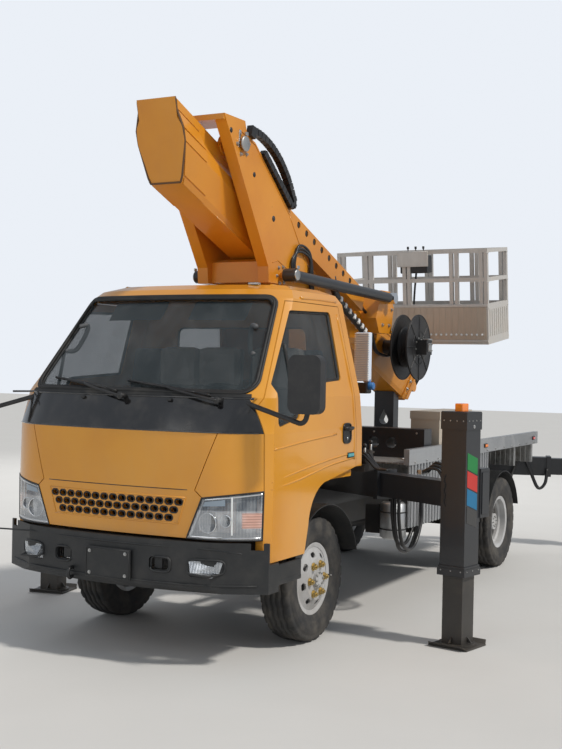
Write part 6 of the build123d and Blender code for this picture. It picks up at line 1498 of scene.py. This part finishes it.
def hanging_parts():
    """Hoses that hang in waves before the rear left housing, and the canister behind the front one."""
    waves = Piece("rear_hoses", "truck", hose_black)
    bends = (
        (0.42, 4.46, 0.76), (0.50, 4.48, 0.56), (0.60, 4.50, 0.56), (0.68, 4.52, 0.78), (0.75, 4.54, 0.88),
        (0.82, 4.57, 0.74), (0.89, 4.60, 0.58), (0.945, 4.65, 0.62), (0.955, 4.69, 0.76),
    )
    for shift in (0.0, 0.026):
        waves.hose([(x, aft(back) + shift, z) for x, back, z in bends], 0.013)
    waves.done()
    canister = Piece("air_canister", "truck", alloy)
    centre = Vector((0.84, aft(1.10), 0.64))
    canister.spin(((-0.13, 0.07), (-0.115, 0.092), (0.115, 0.092), (0.13, 0.07)), centre, Z, 40)
    canister.use(trim_black)
    for z in (-0.06, 0.06):
        canister.ring(circle(centre + Z * z, Z, 0.093, 40), 0.005)
    canister.block(centre - X * 0.14, (0.12, 0.06, 0.20), 0.004)
    canister.block(centre + Z * 0.16, (0.05, 0.05, 0.14), 0.004)
    canister.done()


def deck_dress():
    """Lashing rings on the deck, the toolbox's catches and handle, and the tail lamps with the blank plate."""
    deck_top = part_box("deck")[1][2]
    box_low, box_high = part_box("toolbox")
    fittings = Piece("deck_fittings", "truck", steel)
    for side in (1, -1):
        for back in (1.4, 2.2, 3.0, 3.8):
            if not (side > 0 and 1.7 < back < 2.6):
                place = Vector((side * 0.80, aft(back), deck_top))
                fittings.ring(circle(place + Z * 0.004, Z, 0.028, 20), 0.005)
                fittings.block(place + Z * 0.002, (0.09, 0.03, 0.004), 0.001)
    front = Vector((box_high[0] + 0.001, (box_low[1] + box_high[1]) / 2, 0))
    for y in (-0.18, 0.18):
        middle = front + Y * y + Z * (box_high[2] - 0.07)
        fittings.block(middle, (0.012, 0.035, 0.075), 0.003)
        fittings.rod(middle + Vector((0.008, -0.02, 0.022)), middle + Vector((0.008, 0.02, 0.022)), 0.004, 0.001, 12)
    grip = ((-0.06, 0), (-0.055, 0.028), (0.055, 0.028), (0.06, 0))
    fittings.hose([front + Vector((out, y, box_low[2] + 0.17)) for y, out in grip], 0.006, 8, 5)
    fittings.done()
    tail = Piece("tail_lamps", "truck", trim_black)
    for side in (1, -1):
        centre = Vector((side * 0.45, aft(4.436), LAMP_Z))
        tail.use(trim_black).block(centre, (0.29, 0.012, 0.10), 0.005)
        for offset, finish in ((0.09, red_lens), (0.0, amber), (-0.09, red_lens)):
            tail.use(finish).block(centre + X * side * offset + Y * 0.008, (0.085, 0.014, 0.08), 0.006)
        tail.use(white_plastic).block(centre + Vector((-0.09 * side, 0.011, -0.022)), (0.06, 0.012, 0.022), 0.004)
    tail.use(white_plastic).block((0, aft(4.405), LAMP_Z), (0.44, 0.008, 0.10), 0.003)
    tail.use(trim_black).block((0, aft(4.402), LAMP_Z), (0.46, 0.006, 0.12), 0.003)
    tail.done()


def frame_dress():
    """Side markers, bolts on the guards and the cross box, and the lines along the frame."""
    markers = Piece("side_markers", "truck", amber)
    for side in (1, -1):
        for back, finish in ((2.75, amber), (4.15, red_lens)):
            for skin, out in studs("side_guards", [beside(side, back, 1.085)], X * side):
                markers.use(trim_black).block(skin + out * 0.003, (0.008, 0.075, 0.034), 0.003)
                markers.use(finish).block(skin + out * 0.009, (0.01, 0.06, 0.022), 0.004)
    markers.done()
    places = []
    for side in (1, -1):
        places += studs("side_guards", [beside(side, back, 1.045) for back in spread(1.18, 4.17, 14)], X * side)
    low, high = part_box("cross_box")
    starts = [(x, low[1] - 0.5, z) for x in (-0.84, -0.5, 0.5, 0.84) for z in (low[2] + 0.03, high[2] - 0.03)]
    bolts("frame_bolts", "truck", places + studs("cross_box", starts, -Y), 0.010, 0.006)
    lines = Piece("chassis_lines", "truck", hose_black)
    for x, z in ((0.30, 0.66), (0.325, 0.664)):
        lines.hose([(x, aft(back), z) for back in (0.7, 1.4, 2.4, 3.4, 4.1)], 0.008, 8, 4)
    route = ((0.36, 1.0, 0.56), (0.37, 0.7, 0.51), (0.385, 0.36, 0.46), (0.42, 0.12, 0.42))
    for side in (1, -1):
        for back in (-0.52, 0.30):
            lines.hose([(side * x, aft(back * share), z) for x, share, z in route], 0.007, 8, 5)
    lines.done()


BASKET_TILT = math.radians(7)
BASKET_UP = Vector((0, -math.sin(BASKET_TILT), math.cos(BASKET_TILT)))
BASKET_BACK = Vector((0, math.cos(BASKET_TILT), math.sin(BASKET_TILT)))
BASKET_WAYS = (X, BASKET_BACK, BASKET_UP)


def in_basket(x, back, up):
    """Place in the basket: across, behind its front and above its floor."""
    return Vector((0, aft(3.432), 1.925)) + X * x + BASKET_BACK * back + BASKET_UP * up


def basket_panels():
    """Ribbed kick panels with their scallops, the corner welds and the blank board."""
    panel = Piece("basket_panels", "work_basket", basket_alloy)
    ways = BASKET_WAYS
    for back, facing in ((0.070, -1), (0.670, 1)):
        # the kick panels take the browner aluminium copy: painted shade
        panel.use(panel_alloy_painted_shade).block(in_basket(0, back + facing * 0.002, 0.187), (1.43, 0.004, 0.29), 0.001, ways)
        for x in spread(-0.69, 0.69, 24):
            panel.block(in_basket(x, back + facing * 0.004, 0.19), (0.010, 0.008, 0.27), 0.002, ways)
        panel.use(basket_alloy)
        for up in (0.03, 0.345):
            panel.block(in_basket(0, back + facing * 0.004, up), (1.46, 0.010, 0.02), 0.003, ways)
    for x in (-0.732, 0.732):
        for back in spread(0.12, 0.62, 9):
            panel.block(in_basket(x, back, 0.19), (0.008, 0.012, 0.24), 0.002, ways)
    for x in (-0.713, 0.713):
        for back in (0.09, 0.65):
            for up in (0.558, 0.814, 0.324):
                panel.ring(circle(in_basket(x, back, up), BASKET_UP, 0.024, 16), 0.003)
    # light scallops near the panel's lower edge
    panel.use(white_plastic)
    for x in spread(-0.67, 0.674, 29):
        panel.spin(((0, 0.011), (0.002, 0.011)), in_basket(x, 0.061, 0.088), -BASKET_BACK, 14)
    board = in_basket(0.03, 0.060, 0.775)
    panel.use(basket_alloy).block(board, (0.30, 0.008, 0.14), 0.003, ways)
    corners = ((-0.145, -0.065), (0.145, -0.065), (0.145, 0.065), (-0.145, 0.065))
    panel.ring([board + X * x + BASKET_UP * up - BASKET_BACK * 0.004 for x, up in corners], 0.0035)
    panel.done()


def basket_insides():
    """Control box with its levers and red button, the floor mat, and the hoses at the boom's tip."""
    box = Piece("basket_controls", "work_basket", trim_black)
    centre = in_basket(0.03, 0.145, 0.725)
    face = centre + BASKET_UP * 0.082
    box.block(centre, (0.26, 0.14, 0.16), 0.012, BASKET_WAYS)
    box.use(steel).block(face, (0.23, 0.115, 0.004), 0.001, BASKET_WAYS)
    lever = ((0, 0.016), (0.012, 0.012), (0.016, 0.005), (0.055, 0.005), (0.062, 0.011), (0.082, 0.010))
    box.use(trim_black)
    for x in (-0.075, 0.0, 0.075):
        box.spin(lever, face + X * x, BASKET_UP, 16)
    button = ((0, 0.010), (0.01, 0.010), (0.012, 0.018), (0.022, 0.016))
    box.use(red_lens).spin(button, face + X * 0.105 - BASKET_BACK * 0.03, BASKET_UP, 20)
    box.use(rubber).block(in_basket(0, 0.37, 0.029), (1.36, 0.53, 0.006), 0.002, BASKET_WAYS)
    for back in spread(0.13, 0.61, 17):
        box.block(in_basket(0, back, 0.034), (1.34, 0.008, 0.005), 0.001, BASKET_WAYS)
    bends = ((0.02, 0.12, 0.48), (0.0, 0.115, 0.25), (-0.03, 0.12, 0.07), (-0.2, 0.14, 0.045))
    box.use(hose_black).hose([centre - BASKET_UP * 0.08] + [in_basket(*bend) for bend in bends], 0.010, 8, 6)
    box.done()
    tip = Piece("tip_hoses", "tip_head", hose_black)
    low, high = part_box("levelling_head")
    middle_y, middle_z = (low[1] + high[1]) / 2, (low[2] + high[2]) / 2
    # out from the head's side, behind its middle, height
    bends = (
        (0.01, 0, low[2] + 0.06), (0.045, 0.03, middle_z - 0.05),
        (0.03, 0.03, middle_z + 0.08), (0.008, 0, high[2] - 0.07),
    )
    for shift in (-0.02, 0.02):
        tip.hose([(high[0] + out, middle_y + back + shift, z) for out, back, z in bends], 0.009, 8, 6)
    tip.use(steel)
    hinge = on_boom(3.815, 0.0)
    for side, x in ((1, high[0]), (-1, low[0])):
        tip.spin(((0, 0.03), (0.008, 0.03), (0.011, 0.026)), (x - side * 0.0005, hinge.y, hinge.z), X * side, 28)
    tip.done()


leg_dress()
valve_group()
hanging_parts()
deck_dress()
frame_dress()
basket_panels()
basket_insides()
